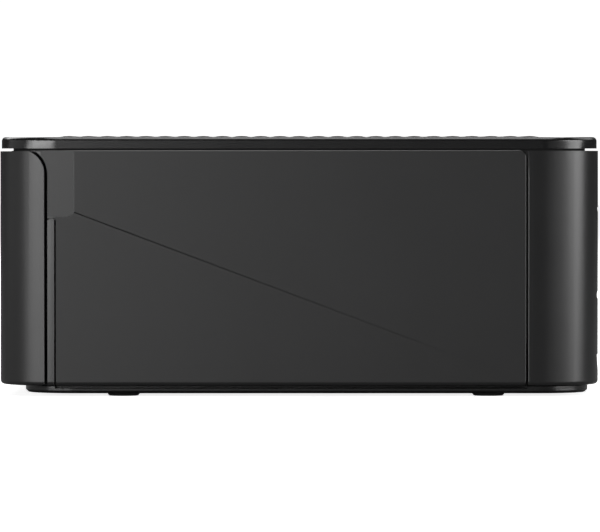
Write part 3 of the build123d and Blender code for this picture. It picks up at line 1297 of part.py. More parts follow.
def rack(x):
    """A toothed bar moving with the head, its teeth towards +Y."""
    pitch = math.pi * MODULE
    slope = math.tan(math.radians(PRESSURE_ANGLE))
    tip, root = 0.9 * MODULE, 1.25 * MODULE
    half = pitch / 4 - BACKLASH / 2
    top = LIFT_SHAFT_Z + HEAD_TRAVEL + 1.5 * pitch
    low = HEAD_PIN_Z[0] - HEAD_PIN_R - 0.5
    teeth = int((top - low) / pitch)
    first = math.floor((low - LIFT_SHAFT_Z) / pitch) + 1
    points = [(PLATEN_Y - RACK_THICK, low), (RACK_LINE - root, low)]
    for index in range(teeth - 1):
        z = LIFT_SHAFT_Z + (first + index + 0.5) * pitch
        points.append((RACK_LINE - root, z - half - root * slope))
        points.append((RACK_LINE + tip, z - half + tip * slope))
        points.append((RACK_LINE + tip, z + half - tip * slope))
        points.append((RACK_LINE - root, z + half + root * slope))
    points += [(RACK_LINE - root, top), (PLATEN_Y - RACK_THICK, top)]
    return prism_x(x, points)


def gear_plane(side):
    """The X span of the wheels next to the left or right plate."""
    if side < 0:
        return (GEAR_A_LEFT, GEAR_A_RIGHT)
    low = PLATE_RIGHT + PLATE_THICK + BUSH_FLANGE + END_PLAY
    return (low, low + GEAR_THICK)


def head_carriage():
    """The cheeks at both ends of the head, with guide pins and lifting racks."""
    ends = []
    sink = head_sink_span()
    for side, near in ((-1, sink[0]), (1, sink[1])):
        cheek_x = (near, near + side * HEAD_CHEEK_THICK)
        outline = corners((HEAD_FRONT, HEAD_REAR), (HEAD_CHEEK_LOW, HEAD_FIN_TOP))
        end = prism_x(cheek_x, outline, 1.0)
        plane = gear_plane(side)
        far = plane[0] if side < 0 else plane[1]
        for z in HEAD_PIN_Z:
            end += rod_x((near + side * HEAD_CHEEK_THICK / 2, far), (PLATEN_Y, z), HEAD_PIN_R)
        ends.append(end + rack(plane))
    return Compound(ends)


def lift_shaft():
    """The cross shaft that raises the head, with a pinion in mesh with the rack at each end."""
    at = (LIFT_SHAFT_Y, LIFT_SHAFT_Z)
    shaft = rod_x((gear_plane(-1)[0] - 0.4, gear_plane(1)[1] + 0.4), at, LIFT_SHAFT_R)
    for side in (-1, 1):
        shaft += gear(LIFT_TEETH, at, gear_plane(side), 180.0)
    return shaft


# ---- gears and motors -------------------------------------------------------------------------
REDUCER_SMALL_TOOTH = mesh_angle(CAPSTAN_TEETH, 0.0, REDUCER_ANGLE, REDUCER_SMALL_TEETH)
REDUCER_BIG_TOOTH = 0.0
FEED_PINION_TOOTH = mesh_angle(REDUCER_BIG_TEETH, REDUCER_BIG_TOOTH, FEED_MOTOR_ANGLE, PINION_TEETH)
RIBBON_PINION_TOOTH = mesh_angle(SPINDLE_TEETH, 0.0, RIBBON_MOTOR_ANGLE, PINION_TEETH)


def capstan_gear():
    return gear(CAPSTAN_TEETH, CAPSTAN_AT, (GEAR_A_LEFT, GEAR_A_RIGHT), 0.0, SHAFT_R + PRESS_FIT)


def reduction_gear():
    """The double wheel: the large one takes the motor's pinion, the small one turns the capstan."""
    small = gear(REDUCER_SMALL_TEETH, REDUCER_AT, (GEAR_B_RIGHT, GEAR_A_RIGHT), REDUCER_SMALL_TOOTH)
    large = gear(REDUCER_BIG_TEETH, REDUCER_AT, (GEAR_B_LEFT, GEAR_B_RIGHT), REDUCER_BIG_TOOTH)
    for index in range(5):
        at = polar(REDUCER_AT, index * 72.0, pitch_radius(REDUCER_BIG_TEETH) * 0.62)
        large -= rod_x((GEAR_B_LEFT - 1, GEAR_B_RIGHT + 1), at, 2.2)
    wheel = small + large
    return wheel - rod_x((GEAR_B_LEFT - 1, GEAR_A_RIGHT + 1), REDUCER_AT, PICK_SHAFT_R + RUN_FIT)


def motor(at, radius, length):
    """A round can on the bracket, its front boss in the bracket's hole."""
    back = BRACKET_LEFT - length
    can = rod_x((back, BRACKET_LEFT), at, radius)
    can = chamfer(can.edges().group_by(Axis.X)[0], 0.8)
    can += rod_x((BRACKET_LEFT - 0.1, BRACKET_RIGHT), at, MOTOR_BOSS_R)
    can += rod_x((back - 1.2, back + 0.1), at, MOTOR_BOSS_R)
    return can - rod_x((BRACKET_LEFT - 6, BRACKET_RIGHT + 1), at, MOTOR_SHAFT_R + RUN_FIT)


def motor_pinion(at, x, tooth_at):
    """A brass pinion on its motor's shaft."""
    wheel = gear(PINION_TEETH, at, x, tooth_at)
    return wheel + rod_x((BRACKET_LEFT - 5.5, max(x)), at, MOTOR_SHAFT_R)


def dog(x, at, radius, flat):
    """A round key with two flats, for driving a spool."""
    across = (at[0] - 2 * radius, at[0] + 2 * radius)
    return rod_x(x, at, radius) & block(x, across, (at[1] - flat, at[1] + flat))


def spindle(at):
    """The journal, collar and key that every spool spindle has."""
    inner = PLATE_LEFT + END_PLAY
    body = rod_x((GEAR_A_RIGHT - 0.1, inner + 0.1), at, SPINDLE_SHAFT_R)
    body += rod_x((inner, inner + 1.0), at, SPINDLE_R + 0.6)
    return body + dog((inner + 0.9, inner + SPINDLE_DEPTH), at, SPINDLE_R, SPINDLE_FLAT)


def takeup_spindle():
    return spindle(TAKEUP_AT) + gear(SPINDLE_TEETH, TAKEUP_AT, (GEAR_A_LEFT, GEAR_A_RIGHT), 0.0)


def supply_spindle():
    """The supply side's spindle, with the felt brake disc outside the plate."""
    return spindle(SUPPLY_AT) + rod_x((GEAR_A_RIGHT - 1.6, GEAR_A_RIGHT), SUPPLY_AT, 7.0)


# ---- ink cassette -----------------------------------------------------------------------------
def cassette_shell():
    """The cassette: two slotted tubes, closed at the right and bored at the left, and two rails."""
    whole = (CASSETTE_LEFT, CASSETTE_RIGHT)
    print_span = (PAPER_LEFT - 3, PAPER_RIGHT + 3)
    shell = None
    for at, radius, way in ((SUPPLY_AT, SUPPLY_TUBE_R, -1), (TAKEUP_AT, TAKEUP_TUBE_R, 1)):
        part = rod_x(whole, at, radius)
        part -= rod_x((CASSETTE_LEFT + CASSETTE_END, CASSETTE_RIGHT - CASSETTE_CAP), at, radius - TUBE_WALL)
        mouth_y = (at[0] + way * radius * 0.35, at[0] + way * (radius + 1))
        part -= block(print_span, mouth_y, (at[1] - radius - 1, at[1] - radius * 0.2))
        part -= rod_x((CASSETTE_LEFT - 1, CASSETTE_LEFT + CASSETTE_END + 1), at, SPOOL_CORE_R - 0.6 + RUN_FIT)
        stub_end = CASSETTE_RIGHT - CASSETTE_CAP / 2
        part -= rod_x((CASSETTE_RIGHT - CASSETTE_CAP - 1, stub_end), at, SPINDLE_R + RUN_FIT)
        shell = part if shell is None else shell + part
    for x in ((CASSETTE_LEFT, CASSETTE_LEFT + CASSETTE_RAIL_THICK), (PAPER_RIGHT + 8, CASSETTE_RIGHT)):
        rail = block(x, (TAKEUP_Y, SUPPLY_Y), CASSETTE_RAIL_Z)
        riser_z = (CASSETTE_RAIL_Z[1] - 1, CASSETTE_RAIL_Z[1] + 2)
        rail += block(x, (TAKEUP_Y, TAKEUP_Y + TAKEUP_TUBE_R), riser_z)
        for at, radius in ((SUPPLY_AT, SUPPLY_TUBE_R), (TAKEUP_AT, TAKEUP_TUBE_R)):
            rail -= rod_x((x[0] - 1, x[1] + 1), at, radius - TUBE_WALL / 2)
        shell += rail
    flange_x = (CASSETTE_RIGHT - CASSETTE_CAP, CASSETTE_RIGHT)
    flange_y = (TAKEUP_Y - TAKEUP_TUBE_R - FLANGE_REACH, TAKEUP_Y - TAKEUP_TUBE_R + 1.5)
    return shell + block(flange_x, flange_y, flange_height())


def spool(at, radius_of_roll):
    """A spool core with end flanges, a keyed bore at the left and a stub at the right."""
    left = CASSETTE_LEFT + CASSETTE_END + SPOOL_GAP
    right = CASSETTE_RIGHT - CASSETTE_CAP - SPOOL_GAP
    core = rod_x((left, right), at, SPOOL_CORE_R)
    core += rod_x((CASSETTE_LEFT + 0.3, left + 0.1), at, SPOOL_CORE_R - 0.6)
    core += rod_x((right - 0.1, right + SPOOL_GAP + CASSETTE_CAP / 2 - 0.3), at, SPINDLE_R)
    flange_r = min(SPOOL_FLANGE_R, radius_of_roll + 0.6)
    for x in (PAPER_LEFT - 2.0, PAPER_RIGHT + 1.0):
        core += rod_x((x, x + 1.0), at, flange_r)
    bore = (CASSETTE_LEFT - 1, PLATE_LEFT + END_PLAY + SPINDLE_DEPTH + 1.0)
    return core - dog(bore, at, SPINDLE_R + SPOOL_GAP, SPINDLE_FLAT + SPOOL_GAP)


def film_roll(at, radius):
    return tube_x((PAPER_LEFT - 0.9, PAPER_RIGHT + 0.9), at, radius, SPOOL_CORE_R + PRESS_FIT)


def eject_lever():
    """The lever whose pad shows beside the cassette and whose tip pushes it out."""
    x, y = LEVER_PIVOT
    pad_x = RECESS_X
    tip_x = CASSETTE_RIGHT - CASSETTE_CAP - END_PLAY
    lever = rod_z(LEVER_Z, (x, y), LEVER_HUB_R)
    arm = [
        (tip_x - LEVER_ARM_THICK, LEVER_TIP_Y + 0.6),
        (tip_x, LEVER_TIP_Y + 0.6),
        (tip_x, LEVER_TIP_Y - 0.6),
        (x + 2.2, y),
        (x - 1.4, y),
    ]
    lever += prism_z(LEVER_Z, arm)
    pad = [
        (x, y - 2.6),
        (x + 2.6, y - 0.4),
        (pad_x, LEVER_PAD_Y[1]),
        (pad_x, LEVER_PAD_Y[0]),
        (pad_x - LEVER_ARM_THICK, LEVER_PAD_Y[0]),
    ]
    lever += prism_z(LEVER_Z, pad)
    return lever - rod_z((0, HEIGHT), (x, y), LEVER_PIN_R + RUN_FIT)


# ---- fan, boards and sockets ------------------------------------------------------------------
def fan_span():
    back = HALF_D - WALL - END_PLAY
    return (back - FAN_THICK, back)


def fan_frame():
    """The square fan housing with its motor cup carried on four struts at the vents."""
    y = fan_span()
    half = FAN_SIZE / 2
    through = (y[0] - 1, y[1] + 1)
    outline = corners((FAN_X - half, FAN_X + half), (FAN_Z - half, FAN_Z + half))
    frame = prism_y(y, outline, 2.0) - rod_y(through, (FAN_X, FAN_Z), FAN_BORE_R)
    reach = half - FAN_HOLE_INSET
    for place in corners((FAN_X - reach, FAN_X + reach), (FAN_Z - reach, FAN_Z + reach)):
        frame -= rod_y(through, place, FAN_HOLE_R)
    strut = (y[1] - FAN_STRUT, y[1])
    frame += rod_y(strut, (FAN_X, FAN_Z), FAN_HUB_R)
    reach = FAN_BORE_R + 0.4
    frame += block((FAN_X - reach, FAN_X + reach), strut, (FAN_Z - FAN_STRUT / 2, FAN_Z + FAN_STRUT / 2))
    frame += block((FAN_X - FAN_STRUT / 2, FAN_X + FAN_STRUT / 2), strut, (FAN_Z - reach, FAN_Z + reach))
    return frame - rod_y((strut[0] - 1, strut[1] - 0.5), (FAN_X, FAN_Z), MOTOR_SHAFT_R + RUN_FIT)


def fan_rotor():
    """The fan's wheel: a hub with twisted blades and the pin that turns in the cup."""
    y = fan_span()
    hub_y = (y[0] + 0.4, y[1] - FAN_STRUT - 0.4)
    rotor = rod_y(hub_y, (FAN_X, FAN_Z), FAN_HUB_R)
    middle_y = (hub_y[0] + hub_y[1]) / 2
    tip = FAN_BORE_R - FAN_TIP_GAP
    chord = (hub_y[1] - hub_y[0]) * 0.92
    blade = Pos(0, 0, (tip + FAN_HUB_R) / 2 - 0.3) * Rot(0, 0, FAN_BLADE_TWIST) * Box(
        FAN_BLADE_THICK, chord, tip - FAN_HUB_R + 0.6
    )
    limit = rod_y(hub_y, (FAN_X, FAN_Z), tip)
    for index in range(FAN_BLADES):
        turned = Pos(FAN_X, middle_y, FAN_Z) * Rot(0, index * 360 / FAN_BLADES, 0) * blade
        rotor += turned & limit
    return rotor + rod_y((hub_y[1] - 0.1, y[1] - 0.9), (FAN_X, FAN_Z), MOTOR_SHAFT_R)


def main_board():
    """The controller board on its posts."""
    return prism_z((BOARD_Z, BOARD_TOP), corners(MAIN_BOARD_X, MAIN_BOARD_Y), 2.0)


def board_chips():
    """The larger parts on the controller board: packages, capacitors and a connector row."""
    x, y = MAIN_BOARD_X, MAIN_BOARD_Y
    chips = []
    for index in range(4):
        half = 7.0 - 1.2 * index
        px = x[0] + 16.0 + 21.0 * index
        py = y[0] + 14.0
        chip_z = (BOARD_TOP, BOARD_TOP + CHIP_THICK)
        chips.append(block((px - half, px + half), (py - half, py + half), chip_z))
    for index in range(4):
        place = (x[0] + 14.0 + 9.0 * index, y[1] - 8.0)
        chips.append(rod_z((BOARD_TOP, BOARD_TOP + CAPACITOR_TALL), place, CAPACITOR_R))
    for index in range(3):
        px = x[0] + 56.0 + 14.0 * index
        header_y = (y[0] + 1.5, y[0] + 5.0)
        chips.append(block((px - 5.0, px + 5.0), header_y, (BOARD_TOP, BOARD_TOP + HEADER_TALL)))
    return Compound(chips)


def io_board():
    return prism_z((BOARD_Z, BOARD_TOP), corners(IO_BOARD_X, IO_BOARD_Y), 1.5)


def dc_jack():
    """The power inlet: a moulded block with a round bore and a centre pin."""
    wide, deep, tall = DC_SIZE
    back = HALF_D - WALL - SOCKET_PLAY
    jack = block((DC_X - wide / 2, DC_X + wide / 2), (back - deep, back), (BOARD_TOP, BOARD_TOP + tall))
    at = (DC_X, BOARD_TOP + tall / 2)
    jack -= rod_y((back - deep + 3, back + 1), at, DC_BORE_R)
    return jack + rod_y((back - deep + 2, back - 1), at, DC_PIN_R)


def usb_socket():
    """The host socket: a folded shell round a tongue."""
    deep, wide, tall = USB_SIZE
    x = (-HALF_W + WALL + SOCKET_PLAY, -HALF_W + WALL + SOCKET_PLAY + deep)
    y = (USB_Y - wide / 2, USB_Y + wide / 2)
    z = (BOARD_TOP, BOARD_TOP + tall)
    inner_y = (y[0] + SOCKET_WALL, y[1] - SOCKET_WALL)
    inner_z = (z[0] + SOCKET_WALL, z[1] - SOCKET_WALL)
    shell = block(x, y, z) - block((x[0] - 1, x[1] - 2), inner_y, inner_z)
    tongue_y = (inner_y[0] + 0.5, inner_y[1] - 0.5)
    return shell + block((x[0] + 1, x[1] - 1), tongue_y, (inner_z[1] - 2.1, inner_z[1] - 0.4))


def card_slot():
    """The memory card's guide: a flat shell open to the wall."""
    deep, wide, tall = CARD_SIZE
    x = (-HALF_W + WALL + SOCKET_PLAY, -HALF_W + WALL + SOCKET_PLAY + deep)
    y = (CARD_Y - wide / 2, CARD_Y + wide / 2)
    shell = block(x, y, (BOARD_TOP, BOARD_TOP + tall))
    slot_y = (CARD_Y - CARD_SLOT[0] / 2, CARD_Y + CARD_SLOT[0] / 2)
    low = BOARD_TOP + (tall - CARD_SLOT[1]) / 2
    return shell - block((x[0] - 1, x[1] - 1), slot_y, (low, low + CARD_SLOT[1]))


# ---- run --------------------------------------------------------------------------------------
def main():
    os.makedirs("parts", exist_ok=True)
    save("base_tray", base_tray())
    save("rubber_feet", rubber_feet())
    save("tray_screws", tray_screws())
    save("body_shell", body_shell())
    save("front_cover", front_cover())
    save("hinge_pins", hinge_pins())
    save("ink_door", ink_door())
    save("top_cover", top_cover())
    save("screen_window", screen_window())
    save("screen_module", screen_module())
    save("key_board", key_board())
    for name, (face, place, stem) in key_shapes().items():
        save(name, key(name, face, place, stem))
    save("chassis_plate_left", chassis_plate_left())
    save("chassis_plate_right", chassis_plate_right())
    save("chassis_bridge", chassis_bridge())
    save("motor_bracket", motor_bracket())
    save("paper_deck", paper_deck())
    save("roller_bushes", roller_bushes())
    save("capstan_roller", capstan_roller())
    save("capstan_gear", capstan_gear())
    save("pinch_roller", pinch_roller())
    save("platen_shaft", platen_shaft())
    save("platen_sleeve", platen_sleeve())
    save("pickup_shaft", pickup_shaft())
    save("pickup_arm", pickup_arm())
    save("pickup_roller", pickup_roller())
    save("thermal_head", thermal_head())
    save("head_sink", head_sink())
    save("head_carriage", head_carriage())
    save("lift_shaft", lift_shaft())
    save("reduction_gear", reduction_gear())
    save("feed_motor", motor(FEED_MOTOR_AT, FEED_MOTOR_R, FEED_MOTOR_LENGTH))
    feed_x = (GEAR_B_LEFT, GEAR_B_RIGHT)
    save("feed_pinion", motor_pinion(FEED_MOTOR_AT, feed_x, FEED_PINION_TOOTH))
    save("ribbon_motor", motor(RIBBON_MOTOR_AT, RIBBON_MOTOR_R, RIBBON_MOTOR_LENGTH))
    ribbon_x = (GEAR_A_LEFT, GEAR_A_RIGHT)
    save("ribbon_pinion", motor_pinion(RIBBON_MOTOR_AT, ribbon_x, RIBBON_PINION_TOOTH))
    save("takeup_spindle", takeup_spindle())
    save("supply_spindle", supply_spindle())
    save("cassette_shell", cassette_shell())
    save("supply_spool", spool(SUPPLY_AT, SUPPLY_ROLL_R))
    save("takeup_spool", spool(TAKEUP_AT, TAKEUP_ROLL_R))
    save("supply_film", film_roll(SUPPLY_AT, SUPPLY_ROLL_R))
    save("takeup_film", film_roll(TAKEUP_AT, TAKEUP_ROLL_R))
    save("eject_lever", eject_lever())
    save("fan_frame", fan_frame())
    save("fan_rotor", fan_rotor())
    save("main_board", main_board())
    save("board_chips", board_chips())
    save("io_board", io_board())
    save("dc_jack", dc_jack())
    save("usb_socket", usb_socket())
    save("card_slot", card_slot())
    for name, solids in SAVED:
        print(name, solids)


main()
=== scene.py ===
"""Dresses a compact photo printer: its finishes, its key marks, the studio and the camera."""

import json
import logging
import math
from dataclasses import dataclass, field
from enum import Enum
from typing import ClassVar

import bmesh
import bpy
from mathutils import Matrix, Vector

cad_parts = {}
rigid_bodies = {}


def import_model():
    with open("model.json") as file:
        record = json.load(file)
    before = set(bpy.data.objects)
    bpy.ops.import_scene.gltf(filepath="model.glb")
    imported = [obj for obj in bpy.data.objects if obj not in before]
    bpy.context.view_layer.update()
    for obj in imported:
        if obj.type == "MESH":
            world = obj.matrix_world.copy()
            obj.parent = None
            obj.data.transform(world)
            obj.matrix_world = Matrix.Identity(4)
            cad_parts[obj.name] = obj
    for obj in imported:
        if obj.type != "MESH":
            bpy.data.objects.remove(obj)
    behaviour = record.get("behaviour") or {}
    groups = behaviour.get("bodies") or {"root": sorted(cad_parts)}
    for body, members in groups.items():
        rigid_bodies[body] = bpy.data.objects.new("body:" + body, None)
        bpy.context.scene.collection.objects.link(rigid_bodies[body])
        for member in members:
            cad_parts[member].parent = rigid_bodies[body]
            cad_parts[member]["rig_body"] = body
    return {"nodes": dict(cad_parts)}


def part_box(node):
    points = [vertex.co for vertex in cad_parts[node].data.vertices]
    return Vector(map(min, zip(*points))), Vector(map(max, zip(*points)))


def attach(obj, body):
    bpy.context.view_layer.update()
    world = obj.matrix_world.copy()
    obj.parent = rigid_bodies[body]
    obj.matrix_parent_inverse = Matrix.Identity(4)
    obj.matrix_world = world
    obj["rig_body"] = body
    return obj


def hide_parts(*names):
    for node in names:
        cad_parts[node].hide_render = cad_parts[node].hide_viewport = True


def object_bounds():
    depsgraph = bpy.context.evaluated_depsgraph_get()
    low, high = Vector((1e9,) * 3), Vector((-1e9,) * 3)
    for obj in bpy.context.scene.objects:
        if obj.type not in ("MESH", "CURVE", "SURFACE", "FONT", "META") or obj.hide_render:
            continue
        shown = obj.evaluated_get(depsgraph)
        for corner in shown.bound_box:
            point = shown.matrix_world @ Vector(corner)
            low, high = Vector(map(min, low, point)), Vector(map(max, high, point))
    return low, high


MM = 0.001
# Points of a mesh that are closer than this are merged.
MERGE = 0.001 * MM
# Below this height the edge of the lid is matt and painted near-black, as painted shade in the
# gap under the lid.
LID_RIM = 54.82 * MM
# The Mix node's sockets for colours, by number, because their names repeat.
MIX_SHARE, MIX_FIRST, MIX_SECOND, MIX_RESULT = 0, 6, 7, 2

Point = tuple[float, float]
Triple = tuple[float, float, float]
Colour = Triple
WHITE: Colour = (1.0, 1.0, 1.0)

log = logging.getLogger("photo_printer")
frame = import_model()
cad_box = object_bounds()


# ---- shader tools -----------------------------------------------------------------------------
class Signal:
    """A shader socket that can be used in sums: each operator adds one Math node."""

    def __init__(self, shader: "Shader", socket: bpy.types.NodeSocket) -> None:
        """Wraps a socket.

        Args:
            shader: The shader whose tree holds the socket.
            socket: The output socket that carries the value.
        """
        self.shader = shader
        self.socket = socket

    def _math(
        self, operation: str, first: "Signal | float", second: "Signal | float" = 0.0
    ) -> "Signal":
        """Adds a Math node.

        Args:
            operation: The Math node's operation.
            first: Its first value.
            second: Its second value.

        Returns:
            The node's result.
        """
        node = self.shader.node("ShaderNodeMath", {"operation": operation}, {0: first, 1: second})
        return Signal(self.shader, node.outputs[0])

    def __add__(self, other: "Signal | float") -> "Signal":
        """This value plus another."""
        return self._math("ADD", self, other)

    def __radd__(self, other: "Signal | float") -> "Signal":
        """Another value plus this one."""
        return self._math("ADD", other, self)

    def __sub__(self, other: "Signal | float") -> "Signal":
        """This value less another."""
        return self._math("SUBTRACT", self, other)

    def __rsub__(self, other: "Signal | float") -> "Signal":
        """Another value less this one."""
        return self._math("SUBTRACT", other, self)

    def __mul__(self, other: "Signal | float") -> "Signal":
        """This value times another."""
        return self._math("MULTIPLY", self, other)

    def __rmul__(self, other: "Signal | float") -> "Signal":
        """Another value times this one."""
        return self._math("MULTIPLY", other, self)

    def size(self) -> "Signal":
        """This value without its sign."""
        return self._math("ABSOLUTE", self)

    def below(self, limit: "Signal | float") -> "Signal":
        """1 where this value is under the limit, else 0."""
        return self._math("LESS_THAN", self, limit)


class Shader:
    """One material under construction, ending in a Principled shader."""

    def __init__(self, name: str) -> None:
        """Starts a material that has only its Principled shader and its output.

        Args:
            name: The material's name.
        """
        self.material = bpy.data.materials.new(name)
        self.material.use_nodes = True
        self.tree = self.material.node_tree
        self.tree.nodes.clear()
        output = self.node("ShaderNodeOutputMaterial")
        self.surface = self.node("ShaderNodeBsdfPrincipled")
        self.tree.links.new(self.surface.outputs[0], output.inputs[0])

    def node(
        self, kind: str, settings: dict | None = None, inputs: dict | None = None
    ) -> bpy.types.Node:
        """Adds a node.

        Args:
            kind: The node's type.
            settings: Attributes of the node, set before its inputs.
            inputs: Values or Signals for its input sockets, by name or number.

        Returns:
            The new node.
        """
        node = self.tree.nodes.new(kind)
        for name, value in (settings or {}).items():
            setattr(node, name, value)
        for name, value in (inputs or {}).items():
            self.feed(node.inputs[name], value)
        return node

    def feed(self, socket: bpy.types.NodeSocket, value: "Signal | float | Triple") -> None:
        """Links a Signal to a socket, or sets the socket's own value.

        Args:
            socket: The input socket.
            value: What it takes; a colour is given without its alpha.
        """
        if isinstance(value, Signal):
            self.tree.links.new(value.socket, socket)
        elif socket.type == "RGBA":
            socket.default_value = (*value, 1.0)
        else:
            socket.default_value = value

    def place(self, stretch: Triple = (1.0, 1.0, 1.0)) -> Signal:
        """Object coordinates.

        Args:
            stretch: A scale for each axis.

        Returns:
            The coordinates, in metres times the scale.
        """
        coordinates = self.node("ShaderNodeTexCoord")
        inputs = {"Vector": Signal(self, coordinates.outputs["Object"]), "Scale": stretch}
        return Signal(self, self.node("ShaderNodeMapping", None, inputs).outputs[0])

    def axes(self) -> tuple[Signal, Signal, Signal]:
        """The three Object coordinates, one by one, in metres."""
        split = self.node("ShaderNodeSeparateXYZ", None, {0: self.place()})
        return tuple(Signal(self, split.outputs[index]) for index in range(3))

    def noise(self, size: float, detail: float, stretch: Triple = (1.0, 1.0, 1.0)) -> Signal:
        """Soft noise from 0 to 1.

        Args:
            size: The size of its largest features, in metres.
            detail: How many finer layers it has.
            stretch: A scale for each axis.

        Returns:
            The noise value.
        """
        inputs = {"Vector": self.place(stretch), "Scale": 1.0 / size, "Detail": detail}
        return Signal(self, self.node("ShaderNodeTexNoise", None, inputs).outputs[0])

    def blend(self, share: Signal, first: "Signal | Colour", second: "Signal | Colour") -> Signal:
        """A colour between two colours.

        Args:
            share: How much of the second colour it has, from 0 to 1.
            first: The colour where the share is 0.
            second: The colour where the share is 1.

        Returns:
            The colour.
        """
        inputs = {MIX_SHARE: share, MIX_FIRST: first, MIX_SECOND: second}
        node = self.node("ShaderNodeMix", {"data_type": "RGBA"}, inputs)
        return Signal(self, node.outputs[MIX_RESULT])

    def relief(self, height: Signal, depth: float) -> None:
        """Gives the surface a fine relief.

        Args:
            height: The relief, from 0 to 1.
            depth: The height that 1 stands for, in metres.
        """
        inputs = {"Strength": 1.0, "Height": height, "Distance": depth}
        bump = self.node("ShaderNodeBump", None, inputs)
        self.set(normal=Signal(self, bump.outputs[0]))

    def set(self, **values: "Signal | float | Colour") -> None:
        """Sets inputs of the Principled shader; underscores in a name stand for spaces."""
        for name, value in values.items():
            self.feed(self.surface.inputs[name.replace("_", " ").title()], value)


# ---- finishes ---------------------------------------------------------------------------------
def tint(colour: Colour, by: float) -> Colour:
    """A colour made lighter or darker by a factor."""
    return tuple(min(1.0, part * by) for part in colour)


@dataclass(frozen=True)
class Finish:
    """What every finish has: a name, the record's slot, a colour and how rough it is."""

    name: str
    slot: str
    colour: Colour
    roughness: float

    @property
    def material(self) -> bpy.types.Material:
        """The finish's material, made when it is first asked for."""
        return bpy.data.materials.get(self.name) or self.build()

    def build(self) -> bpy.types.Material:
        """Makes the finish's material.

        Returns:
            The material.
        """
        shader = Shader(self.name)
        self.paint(shader)
        return shader.material

    def paint(self, shader: Shader) -> None:
        """Sets the shader's inputs; each kind of finish has its own way."""
        raise NotImplementedError


@dataclass(frozen=True)
class Moulded(Finish):
    """Injection-moulded plastic with a fine spark-eroded grain."""

    grain: float = 0.35 * MM
    depth: float = 0.006 * MM
    mottle: float = 0.06
    mottle_size: float = 18 * MM
    gloss_drift: float = 0.04
    gloss_grain: float = 0.02

    def paint(self, shader: Shader) -> None:
        """Puts a fine grain in the relief, and slow changes in the colour and the gloss.

        Args:
            shader: The shader to set.
        """
        slow = shader.noise(self.mottle_size, detail=3.0)
        fine = shader.noise(self.grain, detail=2.0)
        low, high = tint(self.colour, 1 - self.mottle), tint(self.colour, 1 + self.mottle)
        shader.set(base_color=shader.blend(slow, low, high))
        least = self.roughness - (self.gloss_drift + self.gloss_grain) / 2
        shader.set(roughness=least + self.gloss_drift * slow + self.gloss_grain * fine)
        shader.relief(fine, self.depth)


@dataclass(frozen=True)
class Polished(Finish):
    """Glossy moulded plastic, under a clear skin where it has one."""

    coat: float = 0.5
    coat_roughness: float = 0.06
    rim: float = 0.0
    rim_matt: float = 0.5
    # How dark the painted shade below the rim is, as a share of the colour.
    gap_shade_tint: float = 0.1
    dark: float = 0.92
    light: float = 1.1
    flow_size: float = 9 * MM
    flow_gloss: float = 0.15
    dust_size: float = 0.5 * MM
    dust_gloss: float = 0.12
    wave_size: float = 25 * MM
    wave_depth: float = 0.004 * MM

    def paint(self, shader: Shader) -> None:
        """Puts faint flow marks in the gloss and a slow wave; below the rim: matt, with painted
        gap shade.

        Args:
            shader: The shader to set.
        """
        flow = shader.noise(self.flow_size, detail=3.0)
        dust = shader.noise(self.dust_size, detail=3.0)
        # Below the rim: painted shade for the gap under the lid in the colour, and a matt
        # surface.
        under = shader.axes()[2].below(self.rim)
        base = shader.blend(flow, tint(self.colour, self.dark), tint(self.colour, self.light))
        shader.set(base_color=shader.blend(under, base, tint(self.colour, self.gap_shade_tint)))
        gloss = self.roughness * (1.0 + self.flow_gloss * flow + self.dust_gloss * dust)
        shader.set(roughness=gloss + self.rim_matt * under)
        shader.set(coat_weight=self.coat, coat_roughness=self.coat_roughness)
        shader.relief(shader.noise(self.wave_size, detail=0.0), self.wave_depth)


@dataclass(frozen=True)
class DisplayGlass(Polished):
    """A dark clear window whose middle shows the display behind it."""

    centre: Point = (0.0, 0.0)
    half: Point = (0.03, 0.02)
    lit: Colour = (0.012, 0.014, 0.018)

    def paint(self, shader: Shader) -> None:
        """Leaves a dark border round the display's own grey.

        Args:
            shader: The shader to set.
        """
        super().paint(shader)
        x, y, _ = shader.axes()
        inside = (x - self.centre[0]).size().below(self.half[0])
        inside = inside * (y - self.centre[1]).size().below(self.half[1])
        shader.set(base_color=shader.blend(inside, self.colour, self.lit))


@dataclass(frozen=True)
class SheetMetal(Finish):
    """Zinc-plated sheet with a faint spangle and rolling lines."""

    spangles: float = 220.0
    spangle_contrast: float = 6.0
    dark: float = 0.88
    line: float = 0.6 * MM
    line_stretch: Triple = (1.0, 0.05, 1.0)
    line_gloss: float = 0.12
    depth: float = 0.003 * MM

    def paint(self, shader: Shader) -> None:
        """Puts spangle in the colour, and rolling lines in the gloss and the relief.

        Args:
            shader: The shader to set.
        """
        inputs = {"Vector": shader.place(), "Scale": self.spangles}
        cells = shader.node("ShaderNodeTexVoronoi", None, inputs)
        spangle = Signal(shader, cells.outputs["Distance"]) * self.spangle_contrast
        lines = shader.noise(self.line, detail=2.0, stretch=self.line_stretch)
        shader.set(base_color=shader.blend(spangle, tint(self.colour, self.dark), self.colour))
        shader.set(metallic=1.0, roughness=self.roughness + self.line_gloss * lines)
        shader.relief(lines, self.depth)


@dataclass(frozen=True)
class Turned(Finish):
    """Bar metal with the fine rings that turning or grinding leaves along its axis."""

    ring: float = 0.2 * MM
    ring_stretch: Triple = (1.0, 0.02, 0.02)
    ring_gloss: float = 0.15
    dark: float = 0.85
    depth: float = 0.004 * MM

    def paint(self, shader: Shader) -> None:
        """Puts rings across the axis in the colour, the gloss and the relief.

        Args:
            shader: The shader to set.
        """
        rings = shader.noise(self.ring, detail=1.0, stretch=self.ring_stretch)
        shader.set(base_color=shader.blend(rings, tint(self.colour, self.dark), self.colour))
        shader.set(metallic=1.0, roughness=self.roughness + self.ring_gloss * rings)
        shader.relief(rings, self.depth)


